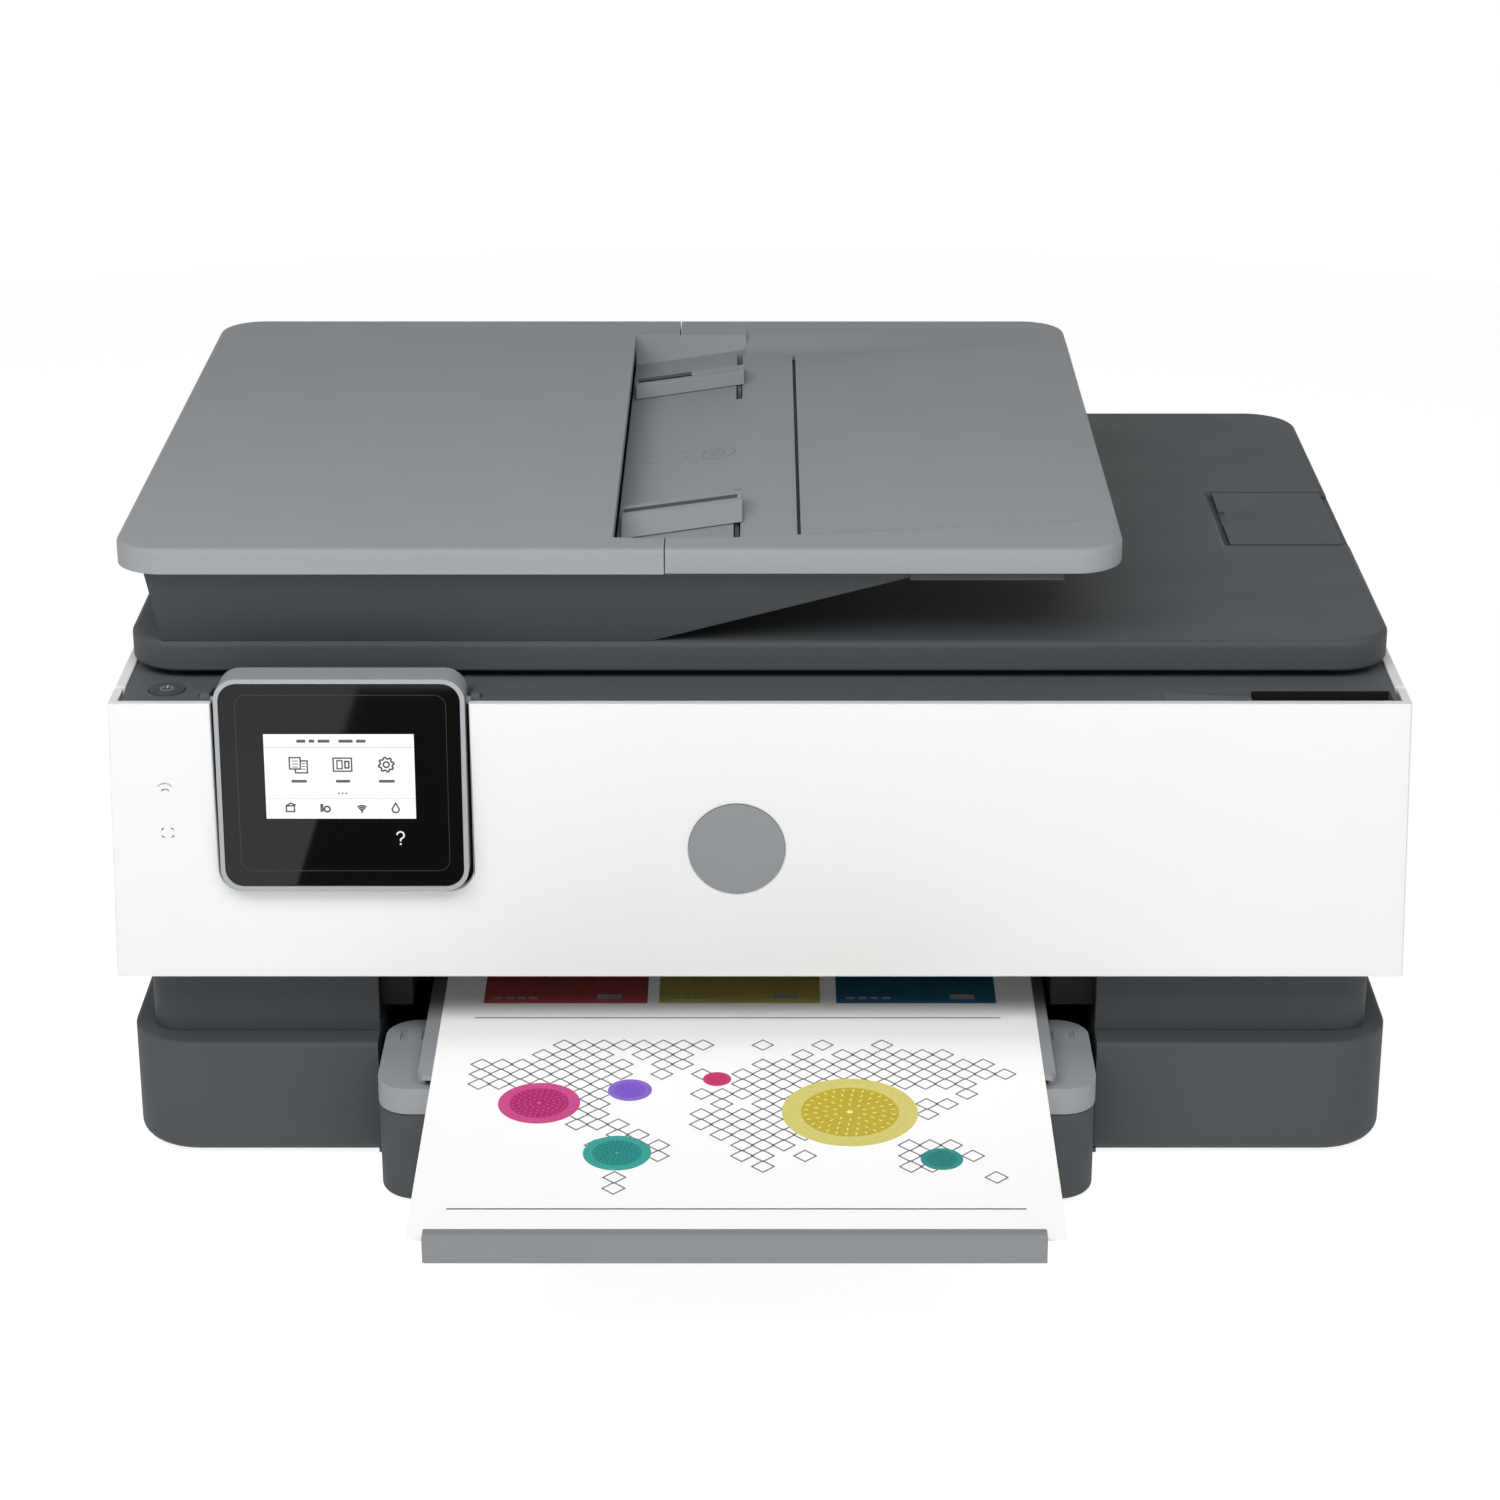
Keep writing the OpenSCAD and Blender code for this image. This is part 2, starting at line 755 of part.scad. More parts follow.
// stiffening frame behind the door skin, with the hinge pins
module door_liner() {
  arm_x = [[-203.5, -198], [198, 203.5]];
  color(dark) {
    difference() {
      along_y([door_t, 13]) difference() {
        door_outline(14, [87, 174]);
        panel_cutout(6);
      }
      // recess that leaves a rim and two ribs
      along_y([door_t + 2, 14]) difference() {
        door_outline(17, [90, 171]);
        panel_cutout(9);
        for (x = [-60, 75]) translate([x, 80]) square([2.5, 100]);
      }
      // room for the finger grip
      block([grip_x0 - 6, 230], [door_t - 1, 14], [164, 180]);
    }
    for (x = arm_x) block(x, [door_t, door_axis_y + 3], [door_axis_z - 3, 88]);
    for (x = [[-209.6, -198], [198, 209.6]]) rod_x(x, door_axis_y, door_axis_z, 2);
  }
}

// ---------------------------------------------------------------- control panel

// leans the panel back round its pivot
module leaned() {
  translate([0, tilt_y, tilt_z]) rotate([-panel_lean, 0, 0]) translate([0, -tilt_y, -tilt_z]) children();
}

module panel_housing() {
  color(grey) leaned() {
    difference() {
      slab_xz([panel_x0, panel_x1], [-1, 13.4], [panel_z0, panel_z1], panel_r);
      // glass seat
      slab_xz([panel_x0 + 1.6, panel_x1 - 1.6], [-2, 1.2], [panel_z0 + 1.6, panel_z1 - 1.6],
              panel_r - 1.4);
      // hollow behind the glass, and a slimmer lower half
      slab_xz([panel_x0 + 2.4, panel_x1 - 2.4], [0, 11], [panel_z0 + 2.4, panel_z1 - 2.4],
              panel_r - 2.2);
      block([panel_x0 - 1, panel_x1 + 1], [9, 14], [panel_z0 - 1, 168]);
    }
    for (x = [[panel_x0 - 4.6, panel_x0 + 2.4], [panel_x1 - 2.4, panel_x1 + 3.8]])
      rod_x(x, tilt_y, tilt_z, 1.5);
  }
}

module panel_glass() {
  color(black) leaned() difference() {
    slab_xz([panel_x0 + 1.8, panel_x1 - 1.8], [-0.6, 1.2], [panel_z0 + 1.8, panel_z1 - 1.8],
            panel_r - 1.6);
    // seat of the display
    block([screen_x[0], screen_x[1]], [-1, 2], [screen_z[0], screen_z[1]]);
  }
}

module display() {
  color("white") leaned() block([screen_x[0] + 0.05, screen_x[1] - 0.05], [-0.58, 3],
                                [screen_z[0] + 0.05, screen_z[1] - 0.05]);
}

module panel_back() {
  color(dark) leaned() {
    difference() {
      slab_xz([panel_x0 + 2.6, panel_x1 - 2.6], [3.2, 8.8], [panel_z0 + 2.6, 166], panel_r - 2.4);
      slab_xz([panel_x0 + 5, panel_x1 - 5], [3, 7], [panel_z0 + 5, 163.6], panel_r - 4);
    }
  }
}

module power_button() {
  color("#54585c") {
    rod_z(button_x, button_y, [175.4, deck_z + 0.5], button_r);
    rod_z(button_x, button_y, [171, 175.4], 2.5);
  }
}

// ---------------------------------------------------------------- lid

module lid_cover() {
  half = lid_w / 2;
  color(dark) difference() {
    slab([-half, half], [lid_y0, lid_y1], [lid_z0, lid_z1], all4(lid_r));
    slab([-half + wall, half - wall], [lid_y0 + wall, lid_y1 - wall], [lid_z0 - 1, lid_z1 - 3],
         all4(lid_r - wall));
    // notches round the hinge posts
    for (x = [-post_x, post_x])
      block([x - 14, x + 14], [lid_y1 - 4, lid_y1 + 1], [lid_z0 - 1, lid_z1 - 3]);
    // seat of the document stop
    block([stop_x0 - 0.4, half + 1], [stop_y0 - 0.3, stop_y1 + 0.3], [lid_z1 - stop_t - 0.2, lid_z1 + 1]);
    rod_y(stop_axis_x, [stop_y0 - 3, stop_y1 + 3], stop_axis_z, 0.65);
  }
}

module document_stop() {
  color(dark) difference() {
    union() {
      block([stop_x0 + 0.9, stop_axis_x], [stop_y0, stop_y1], [lid_z1 - stop_t, lid_z1 - 0.05]);
      rod_y(stop_axis_x, [stop_y0, stop_y1], stop_axis_z, 1.05);
      rod_y(stop_axis_x, [stop_y0 - 2.6, stop_y1 + 2.6], stop_axis_z, 0.6);
    }
    // finger nick at the free end
    rod_y(stop_x0, [(stop_y0 + stop_y1) / 2 - 8, (stop_y0 + stop_y1) / 2 + 8], lid_z1 + 6.5, 7.5);
  }
}

// inner shell of the lid, with the hinge arms and pins
module lid_liner() {
  half = lid_w / 2 - wall - 0.3;
  color(dark) {
    difference() {
      union() {
        slab([-half, half], [lid_y0 + wall + 0.3, lid_y1 - wall - 0.3], [183.6, 185.6], all4(lid_r - 3));
        for (x = [-170, -85, 85, 170]) block([x - 1, x + 1], [50, 285], [185.5, lid_z1 - 3]);
      }
      for (x = [-post_x, post_x]) block([x - 14, x + 14], [290, lid_y1], [183, 191.5]);
    }
    for (x = [-post_x, post_x]) {
      rod_x([x - post_w / 2 - 5, x + post_w / 2 + 5], lid_axis_y, lid_axis_z, 2.5);
      for (s = [-1, 1]) {
        inner = x + s * (post_w / 2 + 0.4);
        outer = x + s * (post_w / 2 + 5);
        ends = [min(inner, outer), max(inner, outer)];
        rod_x(ends, lid_axis_y, lid_axis_z, 4);
        block(ends, [284, lid_axis_y], [185.4, lid_axis_z + 4]);
      }
    }
  }
}

module lid_pad() {
  color(foam_white) block([-glass_x + 1, glass_x - 1], [glass_y0 + 1, glass_y1 - 1], [180.3, 183.6]);
}

// ---------------------------------------------------------------- document feeder

// body of the feeder below its rim: the front leans in and the right end is a ramp
module feeder_body(inset, z) {
  intersection() {
    along_y([0, 400]) polygon([
      [-211 + inset, z[0]], [ramp_x0 - inset * 0.5, z[0]],
      [ramp_x1 - inset * 3, z[1]], [-214 + inset, z[1]]]);
    along_x([-300, 300]) polygon([
      [27 + inset, z[0]], [300 - inset, z[0]], [300 - inset, z[1]], [14 + inset, z[1]]]);
  }
}

module adf_base() {
  color(dark) difference() {
    union() {
      difference() {
        feeder_body(0, [lid_z1, rim_z]);
        feeder_body(wall, [lid_z1 + wall, rim_z + 0.01]);
      }
      // walls that carry the rollers, and the lower guide of the sheet
      for (y = [46, 268]) block([-208, -60], [y - 2, y + 2], [lid_z1 + 1, 222]);
      block([-208, -60], [44, 270], [lid_z1 + 9, lid_z1 + 11]);
      // bar below the front rim of the tray
      block([52, 105.4], [12.5, 22], [rim_z - 3.4, rim_z]);
      // ears of the cover pivot
      for (y = [70, 244]) {
        block([cover_axis_x, -211], [y - 4, y + 4], [cover_axis_z - 2, cover_axis_z + 2.4]);
        block([-214, -211], [y - 4, y + 4], [rim_z - 8, cover_axis_z + 2.4]);
        rod_y(cover_axis_x, [y - 4, y + 4], cover_axis_z, 2.4);
      }
    }
    for (y = [70, 244]) rod_y(cover_axis_x, [y - 5, y + 5], cover_axis_z, 1.3);
    // roller bores
    for (x = [roller_x[0], roller_x[1]]) rod_y(x, [40, 275], roller_z, 2.56);
    // slot where the scanned sheet leaves
    block([-56, 0], [44, 270], [lid_z1 + 3.5, lid_z1 + 9]);
  }
}

roller_x = [-78, -120];
roller_z = 214;

module adf_pick_roller() {
  color("#5b5e60") {
    rod_y(roller_x[0], [43, 271], roller_z, 2.5);
    for (y = [132, 160]) rod_y(roller_x[0], [y, y + 22], roller_z, 8);
  }
}

module adf_feed_roller() {
  color("#5b5e60") {
    rod_y(roller_x[1], [43, 271], roller_z, 2.5);
    for (i = [0:3]) rod_y(roller_x[1], [60 + i * 54, 92 + i * 54], roller_z, 8);
  }
}

module adf_cover() {
  x = [feeder_x0, seam_x - 0.2];
  color(grey) difference() {
    union() {
      difference() {
        slab(x, [feeder_y0, lid_y1], [rim_z, feeder_z1], [feeder_r, 0, 0, feeder_r]);
        slab([x[0] + wall, x[1] - wall], [feeder_y0 + wall, lid_y1 - wall], [rim_z - 1, feeder_z1 - wall],
             [feeder_r - wall, 0, 0, feeder_r - wall]);
      }
      // edge above the feed slot
      block([pocket_x0 - 6, pocket_x0], [pocket_y0 - 3, pocket_y1 + 3], [feeder_z1 - 5, feeder_z1 - 1]);
      // pivot lugs, one on each side of the ears
      for (y = [[62, 65.6], [74.4, 78], [236, 239.6], [248.4, 252]]) difference() {
        union() {
          rod_y(cover_axis_x, y, cover_axis_z, 2.4);
          block([cover_axis_x - 2.4, cover_axis_x + 2.4], y, [cover_axis_z, feeder_z1 - 1]);
        }
      }
      for (y = [[62, 78], [236, 252]]) rod_y(cover_axis_x, y, cover_axis_z, 1.25);
    }
    block([pocket_x0, x[1] + 1], [pocket_y0, pocket_y1], [rim_z - 1, feeder_z1 + 1]);
  }
}

module adf_tray() {
  x = [seam_x + 0.2, feeder_x1];
  floor_t = 2;
  color(grey) difference() {
    union() {
      difference() {
        slab(x, [feeder_y0, lid_y1], [rim_z, feeder_z1], [0, feeder_r, feeder_r, 0]);
        // hollow underside of the rim
        slab([x[0] + wall, x[1] - wall], [feeder_y0 + wall, lid_y1 - wall], [rim_z - 1, feeder_z1 - wall],
             [0, feeder_r - wall, feeder_r - wall, 0]);
      }
      // solid round the channel, open again below
      along_y([pocket_y0 - wall, pocket_y1 + wall]) polygon([
        [pocket_x0 + 1.2, feed_edge_z - floor_t], [pocket_x1, rim_z],
        [x[1] - 1, rim_z], [x[1] - 1, feeder_z1 - 1], [x[0], feeder_z1 - 1], [x[0], rim_z],
        [pocket_x0 + 1.2, feed_edge_z]]);
      along_y([pocket_y0 - wall, pocket_y1 + wall]) polygon([
        [pocket_x0 + 1.2, feed_edge_z - floor_t], [x[0] + 1, feed_edge_z - floor_t + 2.9],
        [x[0] + 1, feeder_z1 - 1], [x[0], feeder_z1 - 1], [x[0], feed_edge_z + 2.9],
        [pocket_x0 + 1.2, feed_edge_z]]);
    }
    // guide pocket with its sloping floor
    along_y([pocket_y0, pocket_y1]) polygon([
      [pocket_x0 - 1, feed_edge_z], [pocket_x1, support_z], [pocket_x1, feeder_z1 + 1],
      [pocket_x0 - 1, feeder_z1 + 1]]);
    // sheet channel: the right part is lower by the thickness of the extension
    along_y([channel_y0, channel_y1]) polygon([
      [pocket_x1 - 1, support_z], [channel_x, support_z], [channel_x, support_z - 2.4],
      [hinge_x - 4, flip_z - 2.6], [x[1] + 1, flip_z - 2.3],
      [x[1] + 1, feeder_z1 + 1], [pocket_x1 - 1, feeder_z1 + 1]]);
    // round seat and pivot holes of the flip-out extension
    rod_y(hinge_x, [channel_y0, channel_y1], flip_z, 5.1);
    rod_y(hinge_x, [channel_y0 - 4, channel_y1 + 4], flip_z, 1.05);
    // slots for the feet of the guides
    for (side = [0, 1]) translate([0, guide_mid_y, 0]) mirror([0, side, 0])
      block([guide_foot_x[0] - 0.4, guide_foot_x[1] + 0.4], [-127.5, -58.5], [210, 232]);
    // blind pivot hole of the rack pinion
    rod_z(pinion_x, guide_mid_y, [210, 224.6], 1.6);
  }
}

// edge guide of the feeder: side is 0 for the front one and 1 for the rear one
module sheet_guide(side) {
  pitch = PI * tooth_module;
  y = [-guide_gap - guide_block, -guide_gap];
  slope = (support_z - feed_edge_z) / (pocket_x1 - pocket_x0);
  x = [pocket_x0 + 1.6, pocket_x1 - 0.7];
  bottom = [for (p = x) feed_edge_z + (p - pocket_x0) * slope + 0.3];
  // the rack of the front guide meshes at the left of the pinion, that of the rear one at the right
  rack_x = pinion_x + (side == 0 ? -1 : 1) * (pinion_teeth * tooth_module / 2 + 4);
  bracket_z = [rack_z[1] + 0.4, rack_z[1] + 2];
  color(grey) {
    translate([0, guide_mid_y, 0]) mirror([0, side, 0]) {
      difference() {
        along_y(y) polygon([[x[0], bottom[0]], [x[1], bottom[1]], [x[1], feeder_z1 - 0.6],
                            [x[0], bottom[0] + 5.4]]);
        // groove behind the paper face
        along_y([y[1] - 7, y[1] - 5]) polygon([[x[0] - 1, bottom[0] + 3], [x[1] - 2, bottom[1] + 3],
                                               [x[1] - 2, feeder_z1 + 1], [x[0] - 1, feeder_z1 + 1]]);
      }
      // foot through the slot, and the bracket that joins it to the rack below the support
      block(guide_foot_x, [y[0] + 3, y[1] - 2], [bracket_z[0], bottom[1] + 0.5]);
      block([rack_x - 1, guide_foot_x[1]], [y[0] + 3, y[1] - 2], bracket_z);
      block([rack_x - 1, rack_x + 1], [y[0] + 3, y[1] - 2], [rack_z[0] + 1, bracket_z[1]]);
    }
    // toothed rack
    translate([pinion_x, guide_mid_y, rack_z[0]]) rotate(side * 180)
      translate([-pinion_teeth * tooth_module / 2, -39 * pitch, 0])
        linear_extrude(rack_z[1] - rack_z[0]) rack_outline(53 * pitch + 0.01, 5);
  }
}

module guide_front() {
  sheet_guide(0);
}

module guide_rear() {
  sheet_guide(1);
}

module guide_pinion() {
  color(black) {
    translate([pinion_x, guide_mid_y, rack_z[0]]) linear_extrude(rack_z[1] - rack_z[0])
      gear_outline(pinion_teeth);
    rod_z(pinion_x, guide_mid_y, [rack_z[0], 224.3], 1.5);
  }
}

// panel that flips out to carry a long sheet
module adf_extension() {
  y = [channel_y0 + 0.4, channel_y1 - 0.4];
  color(grey) {
    along_y(y) polygon([
      [channel_x + 1.3, support_z - 2.1], [hinge_x, flip_z - 2.1], [hinge_x, feeder_z1 - 0.1],
      [channel_x + 1.3, support_z + 0.05]]);
    // rounded tail over the rim of the tray
    intersection() {
      rod_y(hinge_x, y, flip_z, 4.8);
      block([hinge_x - 0.01, hinge_x + 5], y, [flip_z - 2.1, feeder_z1 - 0.1]);
    }
    rod_y(hinge_x, [y[0] - 3.4, y[1] + 3.4], flip_z, 1);
  }
}

// ---------------------------------------------------------------- paper trays

module input_tray() {
  x = [tray_x - tray_w / 2, tray_x + tray_w / 2];
  floor_z = foot_h + bay_floor + 0.4;
  color(dark) difference() {
    union() {
      slab(x, [-tray_front, 256], [floor_z, wing_z0], front2(14));
      // the front apron reaches lower than the floor
      slab(x, [-tray_front, 4], [foot_h + 0.4, wing_z0], front2(14));
    }
    slab([x[0] + wall, x[1] - wall], [-tray_front + 4, 256 - wall], [floor_z + 2.4, wing_z0 + 0.01],
         front2(10));
    block([x[0] + 20, x[1] - 20], [256 - 5, 257], [22, wing_z0 + 1]);
    // finger scoop below the front edge
    along_y([-tray_front - 1, -tray_front + 3]) rounded([tray_x - 45, tray_x + 45], [0, 16], [0, 0, 6, 6]);
  }
}

// edge guide inside the drawer
module paper_guide(side) {
  x = tray_x + side * 109;
  outer = x + side * 2;
  color(grey) {
    block([min(x, outer), max(x, outer)], [60, 190], [6.3, 32]);
    block([min(x, x + side * 13), max(x, x + side * 13)], [90, 130], [6.3, 8.3]);
  }
}

module paper_guide_left() {
  paper_guide(-1);
}

module paper_guide_right() {
  paper_guide(1);
}

// turns a flat drawing to the slope of the output tray; its y axis stays in place at the sheet front
module sloped() {
  translate([0, sheet_y0, sheet_front_z]) rotate([tray_slope, 0, 0])
    translate([0, -sheet_y0, -sheet_front_z]) children();
}

module output_tray() {
  x = [tray_x - tray_w / 2, tray_x + tray_w / 2];
  wing = 17.5;
  plate_z = [sheet_front_z - 0.1 - plate_t, sheet_front_z - 0.1];
  color(grey) {
    difference() {
      slab(x, [-tray_front, wing_y1], [wing_z0 + 0.15, wing_z1], all4(12));
      slab([x[0] + wing, x[1] - wing], [-tray_front + 9, wing_y1 + 1], [wing_z0 - 1, wing_z1 + 1],
           front2(4));
      // narrow slits near the back of each wing
      for (side = [-1, 1], s = [114, 121.6])
        block([tray_x + side * s - 0.9, tray_x + side * s + 0.9], [9, 17], [wing_z1 - 1, wing_z1 + 1]);
    }
    sloped() block([x[0] + wing - 1, x[1] - wing + 1], [-tray_front + 1, plate_y1], plate_z);
    // side rails that stiffen the plate
    for (side = [-1, 1]) {
      inner = tray_x + side * (tray_w / 2 - wing);
      outer = inner + side * 2.4;
      rail = [min(inner, outer), max(inner, outer)];
      difference() {
        block(rail, [-tray_front + 4, plate_y1], [wing_z1 - 4, 60]);
        sloped() block([rail[0] - 1, rail[1] + 1], [-200, 300], [sheet_front_z - 0.1, sheet_front_z + 40]);
      }
    }
  }
}

module tray_extension() {
  x = [tray_x - 101.4, tray_x + 101.4];
  plate_z = [sheet_front_z - 0.1 - plate_t - 0.4 - 1.8, sheet_front_z - 0.1 - plate_t - 0.4];
  color(grey) {
    sloped() block([x[0] + 4, x[1] - 4], [-stop_front + 4, -4], plate_z);
    block(x, [-stop_front, -stop_front + 5], [41.9, 52.7]);
  }
}

module printed_sheet() {
  color("white") sloped() block([-7.7 - sheet_w / 2, -7.7 + sheet_w / 2],
                                [sheet_y0, sheet_y0 + sheet_l], [sheet_front_z, sheet_front_z + sheet_t]);
}

// ---------------------------------------------------------------- nodes

placed() base_case();
placed() feet();
placed() inner_frame();
placed() rear_panel();
placed() side_panel_left();
placed() side_panel_right();
placed() top_deck();
placed() lid_hinge_posts();
placed() scanner_glass();
placed() scanner_tub();
placed() scan_rail();
placed() print_rail();
placed() encoder_strip();
placed() carriage_belt();
placed() paper_chute();
placed() rear_paper_guide();
placed() transport_belt();
placed() service_station();
placed() main_board();
placed() port_block();
placed() power_supply();
placed() drive_motors();
placed() pickup_arm();
placed() case_screws();
placed() front_door();
placed() door_liner();
placed() door_badge();
placed() panel_housing();
placed() panel_glass();
placed() display();
placed() panel_back();
placed() power_button();
placed() lid_cover();
placed() lid_liner();
placed() lid_pad();
placed() adf_base();
placed() adf_tray();
placed() adf_cover();
placed() adf_pick_roller();
placed() adf_feed_roller();
placed() guide_front();
placed() guide_rear();
placed() guide_pinion();
placed() adf_extension();
placed() document_stop();
placed() input_tray();
placed() paper_guide_left();
placed() paper_guide_right();
placed() output_tray();
placed() tray_extension();
placed() printed_sheet();
placed() scan_head();
placed() carriage();
placed() ink_cartridges();
placed() drive_pulley();
placed() idler_pulley();
placed() feed_roller();
placed() exit_roller();
placed() motor_pinion();
placed() pickup_roller();
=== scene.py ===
"""All-in-one inkjet printer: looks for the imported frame.

Sizes are in millimetres in the coordinates of the CAD source: y = 0 is the outer face
of the front door, x = 0 the middle and z = 0 the table. P() turns them into metres.
"""
import json
import math

import bmesh
import bpy
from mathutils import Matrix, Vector


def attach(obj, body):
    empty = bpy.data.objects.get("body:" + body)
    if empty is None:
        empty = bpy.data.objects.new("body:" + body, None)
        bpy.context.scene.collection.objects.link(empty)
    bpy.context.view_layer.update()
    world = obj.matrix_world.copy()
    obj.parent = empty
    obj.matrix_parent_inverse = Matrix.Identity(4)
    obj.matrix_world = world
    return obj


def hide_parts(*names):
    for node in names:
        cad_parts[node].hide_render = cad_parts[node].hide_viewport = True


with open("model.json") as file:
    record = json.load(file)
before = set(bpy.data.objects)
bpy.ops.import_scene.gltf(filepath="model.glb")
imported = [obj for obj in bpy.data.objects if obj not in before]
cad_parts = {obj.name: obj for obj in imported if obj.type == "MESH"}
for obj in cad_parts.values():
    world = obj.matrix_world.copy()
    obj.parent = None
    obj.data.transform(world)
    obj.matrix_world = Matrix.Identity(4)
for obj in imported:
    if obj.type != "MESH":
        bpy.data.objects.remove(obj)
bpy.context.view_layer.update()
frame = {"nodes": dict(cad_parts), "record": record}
nodes = frame["nodes"]
body_of = {n: b for b, ns in frame["record"]["behaviour"]["bodies"].items() for n in ns}
slot_of = {s["node"]: s["material_slot"] for s in frame["record"]["subparts"]}

Y_MID = 81.4                    # from the door's outer face back to the origin of the frame


def P(x, y, z):
    return Vector((x / 1000.0, (y - Y_MID) / 1000.0, z / 1000.0))


# ---------------------------------------------------------------- materials


def srgb(r, g, b):
    """Linear colour from 0-255 display values."""
    out = []
    for v in (r, g, b):
        v /= 255.0
        out.append(v / 12.92 if v <= 0.04045 else ((v + 0.055) / 1.055) ** 2.4)
    return (*out, 1.0)


def scaled(color, k):
    return (color[0] * k, color[1] * k, color[2] * k, 1.0)


def new_material(name):
    mat = bpy.data.materials.new(name)
    mat.use_nodes = True
    tree = mat.node_tree
    return mat, tree, tree.nodes["Principled BSDF"]


def noise(tree, coord, scale, detail=2.0, rough=0.5):
    n = tree.nodes.new("ShaderNodeTexNoise")
    n.inputs["Scale"].default_value = scale
    n.inputs["Detail"].default_value = detail
    n.inputs["Roughness"].default_value = rough
    tree.links.new(coord, n.inputs["Vector"])
    return n


def object_coord(tree):
    return tree.nodes.new("ShaderNodeTexCoord").outputs["Object"]


def ramp(tree, value, low, high):
    r = tree.nodes.new("ShaderNodeValToRGB")
    r.color_ramp.elements[0].position = 0.35
    r.color_ramp.elements[1].position = 0.65
    r.color_ramp.elements[0].color = low
    r.color_ramp.elements[1].color = high
    tree.links.new(value, r.inputs["Fac"])
    return r.outputs["Color"]


def add_bump(tree, shader, height, strength, distance):
    b = tree.nodes.new("ShaderNodeBump")
    b.inputs["Strength"].default_value = strength
    b.inputs["Distance"].default_value = distance
    tree.links.new(height, b.inputs["Height"])
    tree.links.new(b.outputs["Normal"], shader.inputs["Normal"])


def moulded(name, color, rough=0.5, spread=0.04, grain=2600, strength=0.18, spec=0.4):
    """Injection-moulded plastic: fine spark-eroded grain, slight cloudiness and uneven gloss."""
    mat, tree, s = new_material(name)
    c = object_coord(tree)
    cloud = noise(tree, c, 9, 3)
    tree.links.new(ramp(tree, cloud.outputs["Fac"], scaled(color, 1 - spread), scaled(color, 1 + spread)),
                   s.inputs["Base Color"])
    gloss = noise(tree, c, 38, 4)
    g = ramp(tree, gloss.outputs["Fac"], (rough - 0.02,) * 3 + (1,), (rough + 0.02,) * 3 + (1,))
    tree.links.new(g, s.inputs["Roughness"])
    s.inputs["Specular IOR Level"].default_value = spec
    fine = noise(tree, c, grain, 2, 0.6)
    add_bump(tree, s, fine.outputs["Fac"], strength, 0.00004)
    return mat


def glossy(name, color, rough=0.08, spec=0.5):
    """Smooth glass or film with a little smear in its gloss."""
    mat, tree, s = new_material(name)
    c = object_coord(tree)
    smear = noise(tree, c, 22, 3)
    g = ramp(tree, smear.outputs["Fac"], (rough,) * 3 + (1,), (rough + 0.03,) * 3 + (1,))
    tree.links.new(g, s.inputs["Roughness"])
    s.inputs["Base Color"].default_value = color
    s.inputs["Specular IOR Level"].default_value = spec
    return mat


def metal(name, color):
    """Zinc-plated steel with drawn lines along X."""
    mat, tree, s = new_material(name)
    c = object_coord(tree)
    m = tree.nodes.new("ShaderNodeMapping")
    m.inputs["Scale"].default_value = (1, 60, 60)
    tree.links.new(c, m.inputs["Vector"])
    lines = noise(tree, m.outputs["Vector"], 30, 3)
    g = ramp(tree, lines.outputs["Fac"], (0.25, 0.25, 0.25, 1), (0.42, 0.42, 0.42, 1))
    tree.links.new(g, s.inputs["Roughness"])
    s.inputs["Base Color"].default_value = color
    s.inputs["Metallic"].default_value = 1.0
    add_bump(tree, s, lines.outputs["Fac"], 0.06, 0.00005)
    return mat


def ink(name, color):
    """Ink or print: an even colour with a faint mottle."""
    mat, tree, s = new_material(name)
    c = object_coord(tree)
    mottle = noise(tree, c, 900, 2)
    tree.links.new(ramp(tree, mottle.outputs["Fac"], scaled(color, 0.94), scaled(color, 1.04)),
                   s.inputs["Base Color"])
    s.inputs["Roughness"].default_value = 0.6
    s.inputs["Specular IOR Level"].default_value = 0.25
    return mat


def lit(name, color, strength):
    """A lit patch of a display."""
    mat, tree, s = new_material(name)
    s.inputs["Base Color"].default_value = scaled(color, 0.4)
    s.inputs["Roughness"].default_value = 0.35
    s.inputs["Emission Color"].default_value = color
    s.inputs["Emission Strength"].default_value = strength
    return mat


def make_glass():
    """Clear scanner glass."""
    mat, tree, s = new_material("scan_glass")
    s.inputs["Base Color"].default_value = (0.8, 0.9, 0.88, 1)
    s.inputs["Roughness"].default_value = 0.02
    s.inputs["Transmission Weight"].default_value = 1.0
    s.inputs["IOR"].default_value = 1.5
    return mat


def make_film():
    """Encoder strip: fine dark bars on clear film."""
    mat, tree, s = new_material("strip_film")
    c = object_coord(tree)
    w = tree.nodes.new("ShaderNodeTexWave")
    w.bands_direction = "X"
    w.inputs["Scale"].default_value = 400
    tree.links.new(c, w.inputs["Vector"])
    bars = ramp(tree, w.outputs["Fac"], (0.1, 0.1, 0.1, 1), (0.6, 0.62, 0.55, 1))
    tree.links.new(bars, s.inputs["Base Color"])
    s.inputs["Roughness"].default_value = 0.2
    return mat


def make_paper():
    """Thin paper with a faint even glow: painted light that brightens the whole sheet."""
    mat = moulded("paper_painted_glow", srgb(250, 250, 249), 0.75, 0.006, 3200, 0.05, 0.15)
    s = mat.node_tree.nodes["Principled BSDF"]
    # painted light: an even glow on the sheet, which no lamp gives it
    s.inputs["Emission Color"].default_value = (1, 1, 1, 1)
    s.inputs["Emission Strength"].default_value = 0.06
    return mat


DARK = srgb(71, 76, 79)
GREY = srgb(144, 148, 152)
WHITE = srgb(225, 226, 226)

